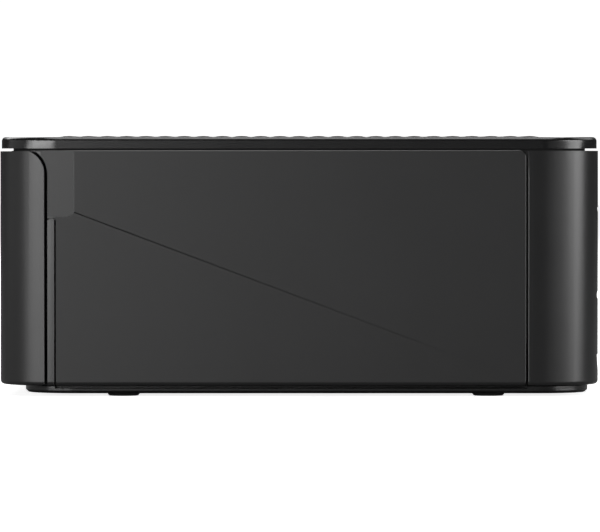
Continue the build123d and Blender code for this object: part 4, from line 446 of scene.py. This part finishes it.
@dataclass(frozen=True)
class Elastomer(Finish):
    """Rubber: dull, with a fine ground surface."""

    pore: float = 0.25 * MM
    pore_gloss: float = 0.1
    wear_size: float = 7 * MM
    dark: float = 0.8
    light: float = 1.25
    depth: float = 0.02 * MM

    def paint(self, shader: Shader) -> None:
        """Puts fine pores in the relief, and slow changes of tone where it wears.

        Args:
            shader: The shader to set.
        """
        pores = shader.noise(self.pore, detail=3.0)
        worn = shader.noise(self.wear_size, detail=2.0)
        low, high = tint(self.colour, self.dark), tint(self.colour, self.light)
        shader.set(base_color=shader.blend(worn, low, high))
        shader.set(roughness=self.roughness + self.pore_gloss * pores)
        shader.relief(pores, self.depth)


@dataclass(frozen=True)
class Laminate(Finish):
    """Circuit board: solder mask over copper tracks."""

    track: Colour = (0.06, 0.2, 0.09)
    tracks: float = 260.0
    row_shift: float = 0.35
    gap: float = 0.03
    track_gloss: float = 0.1
    coat: float = 0.3
    depth: float = 0.02 * MM

    def paint(self, shader: Shader) -> None:
        """Puts tracks under the mask, as a brick pattern, raised a little.

        Args:
            shader: The shader to set.
        """
        bricks = shader.node(
            "ShaderNodeTexBrick",
            {"offset": self.row_shift},
            {
                "Vector": shader.place(),
                "Scale": self.tracks,
                "Mortar Size": self.gap,
                "Color1": (0, 0, 0),
            },
        )
        tracks = Signal(shader, bricks.outputs["Fac"])
        shader.set(base_color=shader.blend(tracks, self.colour, self.track))
        shader.set(roughness=self.roughness + self.track_gloss * tracks, coat_weight=self.coat)
        shader.relief(tracks, self.depth)


@dataclass(frozen=True)
class WoundFilm(Finish):
    """Thin dyed film wound on a core, its edges showing as fine lines."""

    line: float = 0.8 * MM
    line_stretch: Triple = (0.15, 1.0, 1.0)
    line_gloss: float = 0.1
    dark: float = 0.6
    light: float = 1.5
    coat: float = 0.4
    depth: float = 0.01 * MM

    def paint(self, shader: Shader) -> None:
        """Puts slack lines round the roll, and a shift of tone across it.

        Args:
            shader: The shader to set.
        """
        lines = shader.noise(self.line, detail=2.0, stretch=self.line_stretch)
        low, high = tint(self.colour, self.dark), tint(self.colour, self.light)
        shader.set(base_color=shader.blend(lines, low, high))
        shader.set(roughness=self.roughness + self.line_gloss * lines, coat_weight=self.coat)
        shader.relief(lines, self.depth)


class Palette(Enum):
    """The printer's finishes."""

    CASE = Moulded("charcoal case plastic", "charcoal_shell", (0.0045, 0.0045, 0.0047), 0.37)
    SHELL = Moulded("rear shell plastic", "charcoal_shell", (0.0045, 0.0045, 0.0047), 0.32)
    LID = Polished(
        "gloss lid plastic", "lid_black", (0.003, 0.003, 0.0032), 0.2, coat=0.0, rim=LID_RIM
    )
    KEY = Polished("key plastic", "key_black", (0.008, 0.008, 0.0085), 0.3)
    TRAY = Moulded("tray plastic", "tray_black", (0.002, 0.002, 0.002), 0.24, 0.5 * MM, 0.02 * MM)
    FOOT = Elastomer("foot rubber", "foot_rubber", (0.014, 0.014, 0.014), 0.7)
    STEEL = Turned("bright steel", "steel", (0.62, 0.62, 0.63), 0.25)
    ZINC = SheetMetal("zinc-plated sheet", "zinc_plate", (0.6, 0.61, 0.62), 0.3)
    CAN = Turned("motor can", "motor_can", (0.5, 0.5, 0.51), 0.3)
    GEAR = Moulded("natural gear plastic", "gear_white", (0.7, 0.69, 0.64), 0.4)
    BUSH = Moulded("bush plastic", "bush_dark", (0.03, 0.03, 0.03), 0.45)
    ROLLER = Elastomer("roller rubber", "roller_rubber", (0.03, 0.03, 0.032), 0.6)
    GUIDE = Moulded("guide plastic", "guide_black", (0.015, 0.015, 0.015), 0.45)
    CERAMIC = Moulded("glazed ceramic", "ceramic", (0.6, 0.56, 0.48), 0.2)
    SINK = Turned("extruded aluminium", "sink_aluminium", (0.72, 0.73, 0.74), 0.35, 0.4 * MM)
    BRASS = Turned("turned brass", "brass", (0.72, 0.5, 0.2), 0.25)
    CASSETTE = Moulded("cassette plastic", "cassette_grey", (0.32, 0.33, 0.34), 0.42)
    SPOOL = Moulded("spool plastic", "spool_white", (0.66, 0.66, 0.64), 0.42)
    FILM = WoundFilm("dye film", "ink_film", (0.05, 0.02, 0.035), 0.25)
    LEVER = Moulded("lever plastic", "lever_orange", (0.5, 0.12, 0.02), 0.4)
    FAN = Moulded("fan plastic", "fan_black", (0.014, 0.014, 0.014), 0.4)
    BOARD = Laminate("circuit board", "board_green", (0.012, 0.09, 0.04), 0.35)
    CHIP = Moulded("chip epoxy", "chip_black", (0.012, 0.012, 0.012), 0.55, 0.2 * MM)
    SOCKET = Moulded("socket plastic", "socket_black", (0.012, 0.012, 0.012), 0.4)
    TINNED = SheetMetal("tinned shell", "socket_steel", (0.68, 0.68, 0.69), 0.28)
    MARK = Moulded("key mark paint", "gear_white", (0.42, 0.42, 0.42), 0.45)
    BACKING = Moulded("display backing", "screen_back", (0.02, 0.02, 0.022), 0.5)


# ---- bench ------------------------------------------------------------------------------------
def pick(piece: bpy.types.Object) -> None:
    """Selects one object and nothing else.

    Args:
        piece: The object.
    """
    bpy.ops.object.select_all(action="DESELECT")
    piece.select_set(True)
    bpy.context.view_layer.objects.active = piece


@dataclass(frozen=True)
class Ease:
    """Turns a wall's shading into the rear corner's round sooner, as on the real soft corner.

    It acts outside the planes x = wall on both sides and behind y = start, on normals that are
    level and don't point forwards, with a little slack. Each step is the place in y, in
    millimetres, up to which its turn holds, and the turn in degrees from straight sideways.
    """

    wall: float
    start: float
    steps: tuple[Point, ...]
    level: float = 0.02
    forwards: float = 0.01

    def turn(self, place: Vector, normal: Vector) -> Vector:
        """The normal of a corner of the mesh, turned if it is on the wall's last strip.

        Args:
            place: The corner's place.
            normal: The normal that it would have.

        Returns:
            The normal to use.
        """
        outwards = place.x * normal.x > 0 and abs(normal.z) < self.level
        if abs(place.x) < self.wall or place.y < self.start:
            return normal
        if not outwards or normal.y <= -self.forwards:
            return normal
        for step, turn in self.steps:
            if place.y < step * MM:
                angle = math.radians(turn)
                side = math.copysign(math.cos(angle), place.x)
                return Vector((side, math.sin(angle), 0.0))
        return normal


@dataclass
class Shading:
    """Smooth shading that keeps flat faces flat and edges crisp.

    A patch of faces in one plane is flat when it is too wide to be a facet of a round, and broad
    when the shading runs on into it over a larger bend. Bends are in degrees.
    """

    mesh: bpy.types.Mesh
    ease: Ease | None = None
    flat_width: float = 1.8 * MM
    broad_width: float = 6.0 * MM
    same_plane: float = 0.4
    corner: float = 30.0
    broad_corner: float = 50.0
    open_edge: float = 180.0

    def __post_init__(self) -> None:
        """Reads the mesh and finds its flat and broad faces."""
        self.work = bmesh.new()
        self.work.from_mesh(self.mesh)
        self.work.normal_update()
        self.bends = {edge: self._bend(edge) for edge in self.work.edges}
        self.flat: set[bmesh.types.BMFace] = set()
        self.broad: set[bmesh.types.BMFace] = set()
        self._sort_patches()

    def _bend(self, edge: bmesh.types.BMEdge) -> float:
        """How far the surface turns at an edge.

        Args:
            edge: The edge.

        Returns:
            The turn, in degrees.
        """
        if len(edge.link_faces) != 2:
            return self.open_edge
        return math.degrees(edge.calc_face_angle(math.pi))

    def _patch(self, start: bmesh.types.BMFace, seen: set) -> list[bmesh.types.BMFace]:
        """The faces that lie in one plane with a face and join up with it.

        Args:
            start: The face to start from.
            seen: The faces already taken; the patch's faces are added.

        Returns:
            The patch's faces.
        """
        seen.add(start)
        patch = [start]
        for face in patch:
            for edge in face.edges:
                if self.bends[edge] > self.same_plane:
                    continue
                for other in edge.link_faces:
                    if other not in seen:
                        seen.add(other)
                        patch.append(other)
        return patch

    def _width(self, patch: list[bmesh.types.BMFace]) -> float:
        """A patch's mean width.

        Args:
            patch: The patch's faces.

        Returns:
            Twice its area over the length of its rim, or 0 where it has no rim.
        """
        edges = (edge for face in patch for edge in face.edges)
        rim = sum(edge.calc_length() for edge in edges if self.bends[edge] > self.same_plane)
        return 2 * sum(face.calc_area() for face in patch) / rim if rim else 0.0

    def _sort_patches(self) -> None:
        """Sorts out the faces of flat patches, and those of broad ones."""
        seen: set[bmesh.types.BMFace] = set()
        for face in self.work.faces:
            if face in seen:
                continue
            patch = self._patch(face, seen)
            width = self._width(patch)
            if width > self.flat_width:
                self.flat.update(patch)
            if width > self.broad_width:
                self.broad.update(patch)

    def _joined(self, edge: bmesh.types.BMEdge) -> bool:
        """Says whether the shading runs on over an edge.

        Args:
            edge: The edge.

        Returns:
            True where it does.
        """
        by_broad = any(face in self.broad for face in edge.link_faces)
        if self.bends[edge] > (self.broad_corner if by_broad else self.corner):
            return False
        both_flat = all(face in self.flat for face in edge.link_faces)
        return self.bends[edge] <= self.same_plane or not both_flat

    def _fans(self, vertex: bmesh.types.BMVert) -> list[list[bmesh.types.BMLoop]]:
        """The face corners at a vertex, in groups that share one normal.

        Args:
            vertex: The vertex; its crisp edges are tagged.

        Returns:
            The groups.
        """
        corners = {corner.face: corner for corner in vertex.link_loops}
        joins = [edge.link_faces for edge in vertex.link_edges if not edge.tag]
        fans = []
        while corners:
            fan = [corners.popitem()[1]]
            for corner in fan:
                for faces in joins:
                    if corner.face in faces:
                        fan += [corners.pop(face) for face in faces if face in corners]
            fans.append(fan)
        return fans

    def _normal(self, fan: list[bmesh.types.BMLoop]) -> Vector:
        """One normal for a fan.

        Args:
            fan: The face corners that share it.

        Returns:
            Its flat face's own normal, or else the mean of its faces by their areas.
        """
        total = Vector((0.0, 0.0, 0.0))
        flat = [corner for corner in fan if corner.face in self.flat]
        for corner in flat or fan:
            total += corner.face.normal * corner.face.calc_area()
        return total.normalized() if total.length > 0 else fan[0].face.normal.copy()

    def apply(self) -> None:
        """Writes the crisp edges and the normals to the mesh."""
        for face in self.work.faces:
            face.smooth = True
        for edge in self.work.edges:
            edge.tag = not self._joined(edge)
            edge.smooth = not edge.tag
        self.work.faces.index_update()
        normals = {}
        for vertex in self.work.verts:
            for fan in self._fans(vertex):
                shared = self._normal(fan)
                if self.ease:
                    shared = self.ease.turn(vertex.co, shared)
                for corner in fan:
                    keeps_own = corner.face in self.flat and not self.ease
                    normal = corner.face.normal.copy() if keeps_own else shared
                    normals[(corner.face.index, vertex.index)] = normal
        self.work.to_mesh(self.mesh)
        self.work.free()
        self.mesh.normals_split_custom_set(
            [
                normals[(face.index, self.mesh.loops[loop].vertex_index)]
                for face in self.mesh.polygons
                for loop in face.loop_indices
            ]
        )


@dataclass(frozen=True)
class Round:
    """A row of sharp edges that the moulded piece has slightly rounded.

    The row lies in the box from low to high, in millimetres, given for |x|, so for both sides.
    Edges that turn outwards by less than the least bend, in degrees, stay as they are.
    """

    low: Triple
    high: Triple
    radius: float
    segments: int = 2
    least_bend: float = 50.0

    def holds(self, place: Vector) -> bool:
        """Says whether a place is inside the row's box.

        Args:
            place: The place.

        Returns:
            True if it is.
        """
        near = (abs(place.x), place.y, place.z)
        return all(
            low * MM <= part <= high * MM for low, part, high in zip(self.low, near, self.high)
        )

    def cut(self, piece: bpy.types.Object) -> None:
        """Bevels the edges that lie in the box.

        Args:
            piece: The piece, already selected and active.
        """
        bpy.ops.object.mode_set(mode="EDIT")
        work = bmesh.from_edit_mesh(piece.data)
        for edge in work.edges:
            bend = math.degrees(edge.calc_face_angle_signed(0.0)) if edge.is_manifold else 0.0
            edge.select = bend > self.least_bend and all(self.holds(v.co) for v in edge.verts)
        chosen = sum(edge.select for edge in work.edges)
        work.select_mode = {"EDGE"}
        work.select_flush_mode()
        bmesh.update_edit_mesh(piece.data)
        if chosen:
            bpy.ops.mesh.bevel(offset=self.radius, segments=self.segments, affect="EDGES")
        bpy.ops.object.mode_set(mode="OBJECT")
        log.info("%s: %d edges rounded", piece.name, chosen)


def skin(
    node: str, finish: Finish, ease: Ease | None = None, rounds: tuple[Round, ...] = ()
) -> bpy.types.Object:
    """A merged, smoothly shaded copy of a CAD node, which stands for it.

    Args:
        node: The CAD node.
        finish: The copy's finish.
        ease: A turn for the shading of a wall beside a soft corner.
        rounds: Rows of edges to round.

    Returns:
        The copy, riding on the node's body.
    """
    source = frame["nodes"][node]
    piece = bpy.data.objects.new(f"{node}_dressed", source.data.copy())
    bpy.context.scene.collection.objects.link(piece)
    pick(piece)
    bpy.ops.object.mode_set(mode="EDIT")
    bpy.ops.mesh.select_all(action="SELECT")
    bpy.ops.mesh.remove_doubles(threshold=MERGE)
    bpy.ops.object.mode_set(mode="OBJECT")
    for row in rounds:
        row.cut(piece)
    Shading(piece.data, ease).apply()
    piece.data.materials.clear()
    piece.data.materials.append(finish.material)
    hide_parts(node)
    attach(piece, source["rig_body"])
    return piece


# ---- key marks --------------------------------------------------------------------------------
@dataclass(frozen=True)
class Symbol:
    """A thin printed mark on a key: flat shapes and an arc, in millimetres about its middle.

    The arc is its radius and the angles, in degrees, where it starts and ends.
    """

    shapes: tuple[tuple[Point, ...], ...] = ()
    arc: Triple | None = None
    turn: float = 0.0
    line: float = 0.45
    steps: int = 36
    thickness: float = 0.05 * MM
    sunk: float = 0.02 * MM
    finish: Palette = Palette.MARK

    def outline(self) -> tuple[list[Point], list[tuple[int, ...]]]:
        """Works out the mark, lying flat.

        Returns:
            Its points, and its faces by their points' numbers.
        """
        points: list[Point] = []
        faces: list[tuple[int, ...]] = []
        for shape in self.shapes:
            faces.append(tuple(range(len(points), len(points) + len(shape))))
            points += shape
        if self.arc:
            radius, start, end = self.arc
            first = len(points)
            for step in range(self.steps + 1):
                angle = math.radians(start + (end - start) * step / self.steps)
                for reach in (radius - self.line / 2, radius + self.line / 2):
                    points.append((reach * math.cos(angle), reach * math.sin(angle)))
            for step in range(first, first + 2 * self.steps, 2):
                faces.append((step, step + 1, step + 3, step + 2))
        return points, faces

    def print_on(self, key: str) -> bpy.types.Object:
        """Lays the mark on a key, to move with it.

        Args:
            key: The key's CAD node.

        Returns:
            The mark.
        """
        low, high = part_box(key)
        turn = math.radians(self.turn)
        points, faces = self.outline()
        placed = [
            (
                (low.x + high.x) / 2 + (x * math.cos(turn) - y * math.sin(turn)) * MM,
                (low.y + high.y) / 2 + (x * math.sin(turn) + y * math.cos(turn)) * MM,
                high.z - self.sunk,
            )
            for x, y in points
        ]
        mesh = bpy.data.meshes.new(f"{key}_mark")
        mesh.from_pydata(placed, [], faces)
        piece = bpy.data.objects.new(f"{key}_mark", mesh)
        bpy.context.scene.collection.objects.link(piece)
        pick(piece)
        bpy.ops.object.mode_set(mode="EDIT")
        bpy.ops.mesh.select_all(action="SELECT")
        bpy.ops.mesh.remove_doubles(threshold=MERGE)
        bpy.ops.mesh.extrude_region_move(TRANSFORM_OT_translate={"value": (0, 0, self.thickness)})
        bpy.ops.mesh.select_all(action="SELECT")
        bpy.ops.mesh.normals_make_consistent(inside=False)
        bpy.ops.object.mode_set(mode="OBJECT")
        mesh.materials.append(self.finish.value.material)
        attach(piece, frame["nodes"][key]["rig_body"])
        return piece


ARROW = ((-1.5, 0.1), (1.5, 0.1), (0.0, 2.3))
HOUSE = ((-1.5, -1.3), (1.5, -1.3), (1.5, 0.3), (0.0, 1.6), (-1.5, 0.3))
PENCIL = ((-1.9, -0.45), (1.0, -0.45), (1.9, 0.0), (1.0, 0.45), (-1.9, 0.45))
SHAFT_ARROW = (
    (-2.0, 0.0),
    (-0.6, -1.2),
    (-0.6, -0.4),
    (2.0, -0.4),
    (2.0, 0.4),
    (-0.6, 0.4),
    (-0.6, 1.2),
)
SHEET = ((-1.2, -1.6), (1.2, -1.6), (1.2, 0.8), (0.4, 1.6), (-1.2, 1.6))
BAR = ((-0.22, 0.5), (0.22, 0.5), (0.22, 2.5), (-0.22, 2.5))


# ---- sub-assemblies ---------------------------------------------------------------------------
@dataclass
class Group:
    """A sub-assembly: CAD nodes by the finish that each one takes."""

    title: ClassVar[str] = ""
    nodes: ClassVar[dict[str, Palette]] = {}
    pieces: list[bpy.types.Object] = field(default_factory=list)

    def eases(self) -> dict[str, Ease]:
        """The softer shading beside the rear corners, by node."""
        return {}

    def rounds(self) -> dict[str, tuple[Round, ...]]:
        """The rows of edges to round, by node."""
        return {}

    def dress(self) -> None:
        """Gives every node of the group its skin."""
        eases, rounds = self.eases(), self.rounds()
        for node, finish in self.nodes.items():
            piece = skin(node, finish.value, eases.get(node), rounds.get(node, ()))
            self.pieces.append(piece)


@dataclass
class Case(Group):
    """The tray on its feet, the rear shell, the front cover, the ink door and their fasteners."""

    title = "case"
    nodes = {
        "base_tray": Palette.TRAY,
        "rubber_feet": Palette.FOOT,
        "tray_screws": Palette.STEEL,
        "body_shell": Palette.SHELL,
        "front_cover": Palette.CASE,
        "ink_door": Palette.CASE,
        "hinge_pins": Palette.STEEL,
    }
    ease_wall: float = 88.5 * MM
    ease_start: float = 50 * MM
    ease_steps: tuple[Point, ...] = (
        (52, 2.0),
        (54, 7.5),
        (55.5, 12.3),
        (57, 15.2),
        (58.5, 17.0),
        (59.7, 19.5),
        (61, 23.5),
    )
    shell_round: float = 0.3 * MM
    frame_round: float = 0.2 * MM
    cover_round: float = 0.16 * MM
    tab_round: float = 0.13 * MM
    door_round: float = 0.25 * MM

    def eases(self) -> dict[str, Ease]:
        """The softer shading beside the shell's rear corners."""
        return {"body_shell": Ease(self.ease_wall, self.ease_start, self.ease_steps)}

    def rounds(self) -> dict[str, tuple[Round, ...]]:
        """The edges beside the gaps round the ink door and the front cover.

        Returns:
            The rows to round, by node.
        """
        return {
            "body_shell": (
                Round((91, 50.3, 3.35), (91.2, 50.5, 54.4), self.shell_round, 3),
                Round((91, -56, 3.35), (91.2, -53, 54.4), self.frame_round),
            ),
            "front_cover": (Round((85, -60, 3), (91.2, -55, 54.25), self.cover_round),),
            "ink_door": (
                Round((91, -51, 39.6), (91.2, -49.6, 54.4), self.tab_round),
                Round((91, -53.7, 3.35), (91.2, -53.5, 39.6), self.door_round, 3),
            ),
        }


@dataclass
class TopPanel(Group):
    """The rippled lid with its keys and its screen."""

    title = "top panel"
    nodes = {
        "top_cover": Palette.LID,
        "screen_module": Palette.BACKING,
        "key_board": Palette.BOARD,
    }
    symbols: ClassVar[dict[str, Symbol]] = {
        "ok": Symbol(arc=(2.3, 0.0, 360.0)),
        "right": Symbol((ARROW,), turn=-90.0),
        "up": Symbol((ARROW,)),
        "left": Symbol((ARROW,), turn=90.0),
        "down": Symbol((ARROW,), turn=180.0),
        "home": Symbol((HOUSE,)),
        "edit": Symbol((PENCIL,), turn=-135.0),
        "back": Symbol((SHAFT_ARROW,)),
        "print": Symbol((SHEET,)),
        "power": Symbol((BAR,), arc=(2.0, 125.0, 415.0)),
    }
    ease_wall: float = 88 * MM
    ease_start: float = 54.2 * MM
    ease_steps: tuple[Point, ...] = (
        (55.5, 14.0),
        (57, 15.3),
        (58.5, 16.7),
        (59.7, 19.2),
        (61, 23.5),
    )
    border: float = 8.0 * MM
    glass_colour: Colour = (0.004, 0.004, 0.0045)
    glass_roughness: float = 0.08

    def eases(self) -> dict[str, Ease]:
        """The softer shading beside the lid's rear corners."""
        return {"top_cover": Ease(self.ease_wall, self.ease_start, self.ease_steps)}

    def dress(self) -> None:
        """Dresses the lid, then each key with its mark, and the window."""
        super().dress()
        for name, symbol in self.symbols.items():
            key = f"{name}_key"
            self.pieces.append(skin(key, Palette.KEY.value))
            self.pieces.append(symbol.print_on(key))
        self.pieces.append(self.window())

    def window(self) -> bpy.types.Object:
        """Dresses the screen's window, with the display's area showing darker grey.

        Returns:
            The window.
        """
        low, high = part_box("screen_window")
        middle = (low + high) / 2
        half = (high - low) / 2
        glass = DisplayGlass(
            "screen window",
            "screen_glass",
            self.glass_colour,
            self.glass_roughness,
            centre=(middle.x, middle.y),
            half=(half.x - self.border, half.y - self.border),
        )
        return skin("screen_window", glass)


class Chassis(Group):
    """The sheet-metal frame, with its deck and its bushes."""

    title = "chassis"
    nodes = {
        "chassis_plate_left": Palette.ZINC,
        "chassis_plate_right": Palette.ZINC,
        "chassis_bridge": Palette.ZINC,
        "motor_bracket": Palette.ZINC,
        "paper_deck": Palette.GUIDE,
        "roller_bushes": Palette.BUSH,
    }


class Rollers(Group):
    """The rollers that move the paper."""

    title = "rollers"
    nodes = {
        "capstan_roller": Palette.STEEL,
        "capstan_gear": Palette.GEAR,
        "pinch_roller": Palette.STEEL,
        "platen_shaft": Palette.STEEL,
        "platen_sleeve": Palette.ROLLER,
        "pickup_shaft": Palette.STEEL,
        "pickup_arm": Palette.GUIDE,
        "pickup_roller": Palette.ROLLER,
    }


class PrintHead(Group):
    """The thermal head with what cools, carries and lifts it."""

    title = "print head"
    nodes = {
        "thermal_head": Palette.CERAMIC,
        "head_sink": Palette.SINK,
        "head_carriage": Palette.GUIDE,
        "lift_shaft": Palette.GEAR,
    }


class Drive(Group):
    """The motors with their gears, the spindles and the eject lever."""

    title = "drive"
    nodes = {
        "reduction_gear": Palette.GEAR,
        "feed_motor": Palette.CAN,
        "feed_pinion": Palette.BRASS,
        "ribbon_motor": Palette.CAN,
        "ribbon_pinion": Palette.BRASS,
        "takeup_spindle": Palette.GEAR,
        "supply_spindle": Palette.GEAR,
        "eject_lever": Palette.LEVER,
    }


class Cassette(Group):
    """The ink cassette with its two rolls of film."""

    title = "ink cassette"
    nodes = {
        "cassette_shell": Palette.CASSETTE,
        "supply_spool": Palette.SPOOL,
        "takeup_spool": Palette.SPOOL,
        "supply_film": Palette.FILM,
        "takeup_film": Palette.FILM,
    }


class Boards(Group):
    """The fan, the circuit boards and the sockets."""

    title = "boards and sockets"
    nodes = {
        "fan_frame": Palette.FAN,
        "fan_rotor": Palette.FAN,
        "main_board": Palette.BOARD,
        "board_chips": Palette.CHIP,
        "io_board": Palette.BOARD,
        "dc_jack": Palette.SOCKET,
        "usb_socket": Palette.TINNED,
        "card_slot": Palette.TINNED,
    }


# ---- studio -----------------------------------------------------------------------------------
@dataclass(frozen=True)
class Softbox:
    """One area light, placed by the direction it shines from."""

    name: str
    azimuth: float
    height: float
    distance: float
    size: Point
    power: float

    def hang(self, aim: Vector) -> None:
        """Hangs the light round the object.

        Args:
            aim: The point that it faces.
        """
        data = bpy.data.lights.new(self.name, "AREA")
        data.shape = "RECTANGLE"
        data.size, data.size_y = self.size
        data.energy = self.power
        lamp = bpy.data.objects.new(self.name, data)
        turn = math.radians(self.azimuth)
        lamp.location = aim + Vector(
            (math.cos(turn) * self.distance, math.sin(turn) * self.distance, self.height)
        )
        lamp.rotation_euler = (aim - lamp.location).to_track_quat("-Z", "Y").to_euler()
        bpy.context.scene.collection.objects.link(lamp)


@dataclass
class Studio:
    """A white floor, a white surround and soft lights round the printer."""

    floor_size: float = 8.0
    floor_colour: Colour = (0.92, 0.92, 0.92)
    floor_glow: float = 0.9
    cloth_drop: float = 2 * MM
    cloth_colour: Colour = (0.22, 0.22, 0.22)
    surround_radius: float = 12.0
    surround_segments: int = 48
    surround_glow: float = 1.0
    ambient: float = 0.05
    dullness: float = 0.9
    boxes: tuple[Softbox, ...] = (
        Softbox("front_left_box", -35.0, 0.14, 1.3, (1.3, 0.28), 11.4),
        Softbox("rear_right_box", 64.0, 0.18, 1.3, (1.1, 0.36), 11.6),
        Softbox("top_box", 0.0, 1.2, 0.35, (0.9, 0.6), 10.0),
        Softbox("left_fill", -93.0, 0.18, 1.3, (1.0, 0.36), 0.85),
        Softbox("rear_box", 200.0, 0.95, 1.2, (1.6, 0.9), 14.0),
        Softbox("high_box", 125.0, 0.9, 1.2, (1.2, 0.9), 5.0),
    )

    def paint(self, name: str, colour: Colour, glow: float) -> bpy.types.Material:
        """Makes a plain surface for the stage.

        Args:
            name: The material's name.
            colour: Its colour.
            glow: How strongly it shines by itself.

        Returns:
            The material.
        """
        shader = Shader(name)
        shader.set(base_color=colour, roughness=self.dullness)
        shader.set(emission_color=colour, emission_strength=glow)
        return shader.material

    def sheet(self, name: str, drop: float, material: bpy.types.Material) -> bpy.types.Object:
        """Lays a square of the floor's size.

        Args:
            name: Its name.
            drop: How far below the printer's feet it lies.
            material: Its material.

        Returns:
            The square.
        """
        bpy.ops.object.select_all(action="DESELECT")
        bpy.ops.mesh.primitive_plane_add(size=self.floor_size, location=(0, 0, -drop))
        piece = bpy.context.object
        piece.name = name
        piece.data.materials.append(material)
        return piece

    def globe(self) -> bpy.types.Object:
        """Puts a white surround round everything.

        Returns:
            The surround.
        """
        bpy.ops.object.select_all(action="DESELECT")
        bpy.ops.mesh.primitive_uv_sphere_add(
            radius=self.surround_radius,
            segments=self.surround_segments,
            ring_count=self.surround_segments // 2,
        )
        piece = bpy.context.object
        piece.name = "studio_surround"
        piece.data.materials.append(self.paint("surround", WHITE, self.surround_glow))
        return piece

    def set_stage(self) -> None:
        """Lays the floor, hangs the surround, and lays the cloth that only the case reflects."""
        floor_paint = self.paint("floor", self.floor_colour, self.floor_glow)
        cloth_paint = self.paint("cloth", self.cloth_colour, 0.0)
        floor = self.sheet("studio_floor", 0.0, floor_paint)
        cloth = self.sheet("studio_cloth", self.cloth_drop, cloth_paint)
        surround = self.globe()
        cloth.visible_camera = False
        for piece in (floor, surround):
            piece.visible_diffuse = piece.visible_glossy = False
            piece.visible_transmission = piece.visible_shadow = False

    def light(self, aim: Vector) -> None:
        """Sets the surrounding light and hangs the softboxes.

        Args:
            aim: The point that the softboxes face.
        """
        world = bpy.data.worlds.new("studio")
        world.use_nodes = True
        background = world.node_tree.nodes["Background"]
        background.inputs["Color"].default_value = (*WHITE, 1.0)
        background.inputs["Strength"].default_value = self.ambient
        bpy.context.scene.world = world
        for box in self.boxes:
            box.hang(aim)
            log.info("light: %s", box.name)


@dataclass
class Viewpoint:
    """The camera, worked out from what the photograph shows of the ink door's side.

    The rows and columns are the photograph's own, in pixels from its top left corner.
    """

    image: Point = (600.0, 532.0)
    distance: float = 1.2
    pixels_per_mm: float = 4.54
    horizon_row: float = 149.0
    middle_column: float = 299.2
    eye_height: float = 54.7 * MM
    sensor: float = 36.0
    reach: Point = (0.05, 60.0)

    def aim(self) -> None:
        """Makes the camera and puts it beside the printer, looking at the ink door."""
        width, height = self.image
        near = cad_box[1].x
        focal = self.pixels_per_mm / MM * self.distance
        tilt = math.atan((height / 2 - self.horizon_row) / focal)
        data = bpy.data.cameras.new("view")
        data.sensor_width = self.sensor
        data.lens = focal / width * self.sensor
        data.clip_start, data.clip_end = self.reach
        camera = bpy.data.objects.new("view", data)
        across = (width / 2 - self.middle_column) / self.pixels_per_mm * MM
        camera.location = (near + self.distance, across, self.eye_height)
        camera.rotation_euler = (math.radians(90) - tilt, 0.0, math.radians(90))
        bpy.context.scene.collection.objects.link(camera)
        bpy.context.scene.camera = camera


def main() -> None:
    """Builds the scene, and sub-assembly by sub-assembly."""
    logging.basicConfig(level=logging.INFO, format="%(message)s")
    groups = (
        Case(),
        TopPanel(),
        Chassis(),
        Rollers(),
        PrintHead(),
        Drive(),
        Cassette(),
        Boards(),
    )
    for group in groups:
        group.dress()
        for piece in group.pieces:
            log.info("%s: %s, %d faces", group.title, piece.name, len(piece.data.polygons))
    studio = Studio()
    studio.set_stage()
    studio.light(Vector((0.0, 0.0, cad_box[1].z / 2)))
    Viewpoint().aim()
    bpy.context.scene.view_settings.view_transform = "Standard"
    log.info("%d pieces dressed", sum(len(group.pieces) for group in groups))


if __name__ == "__main__":
    main()
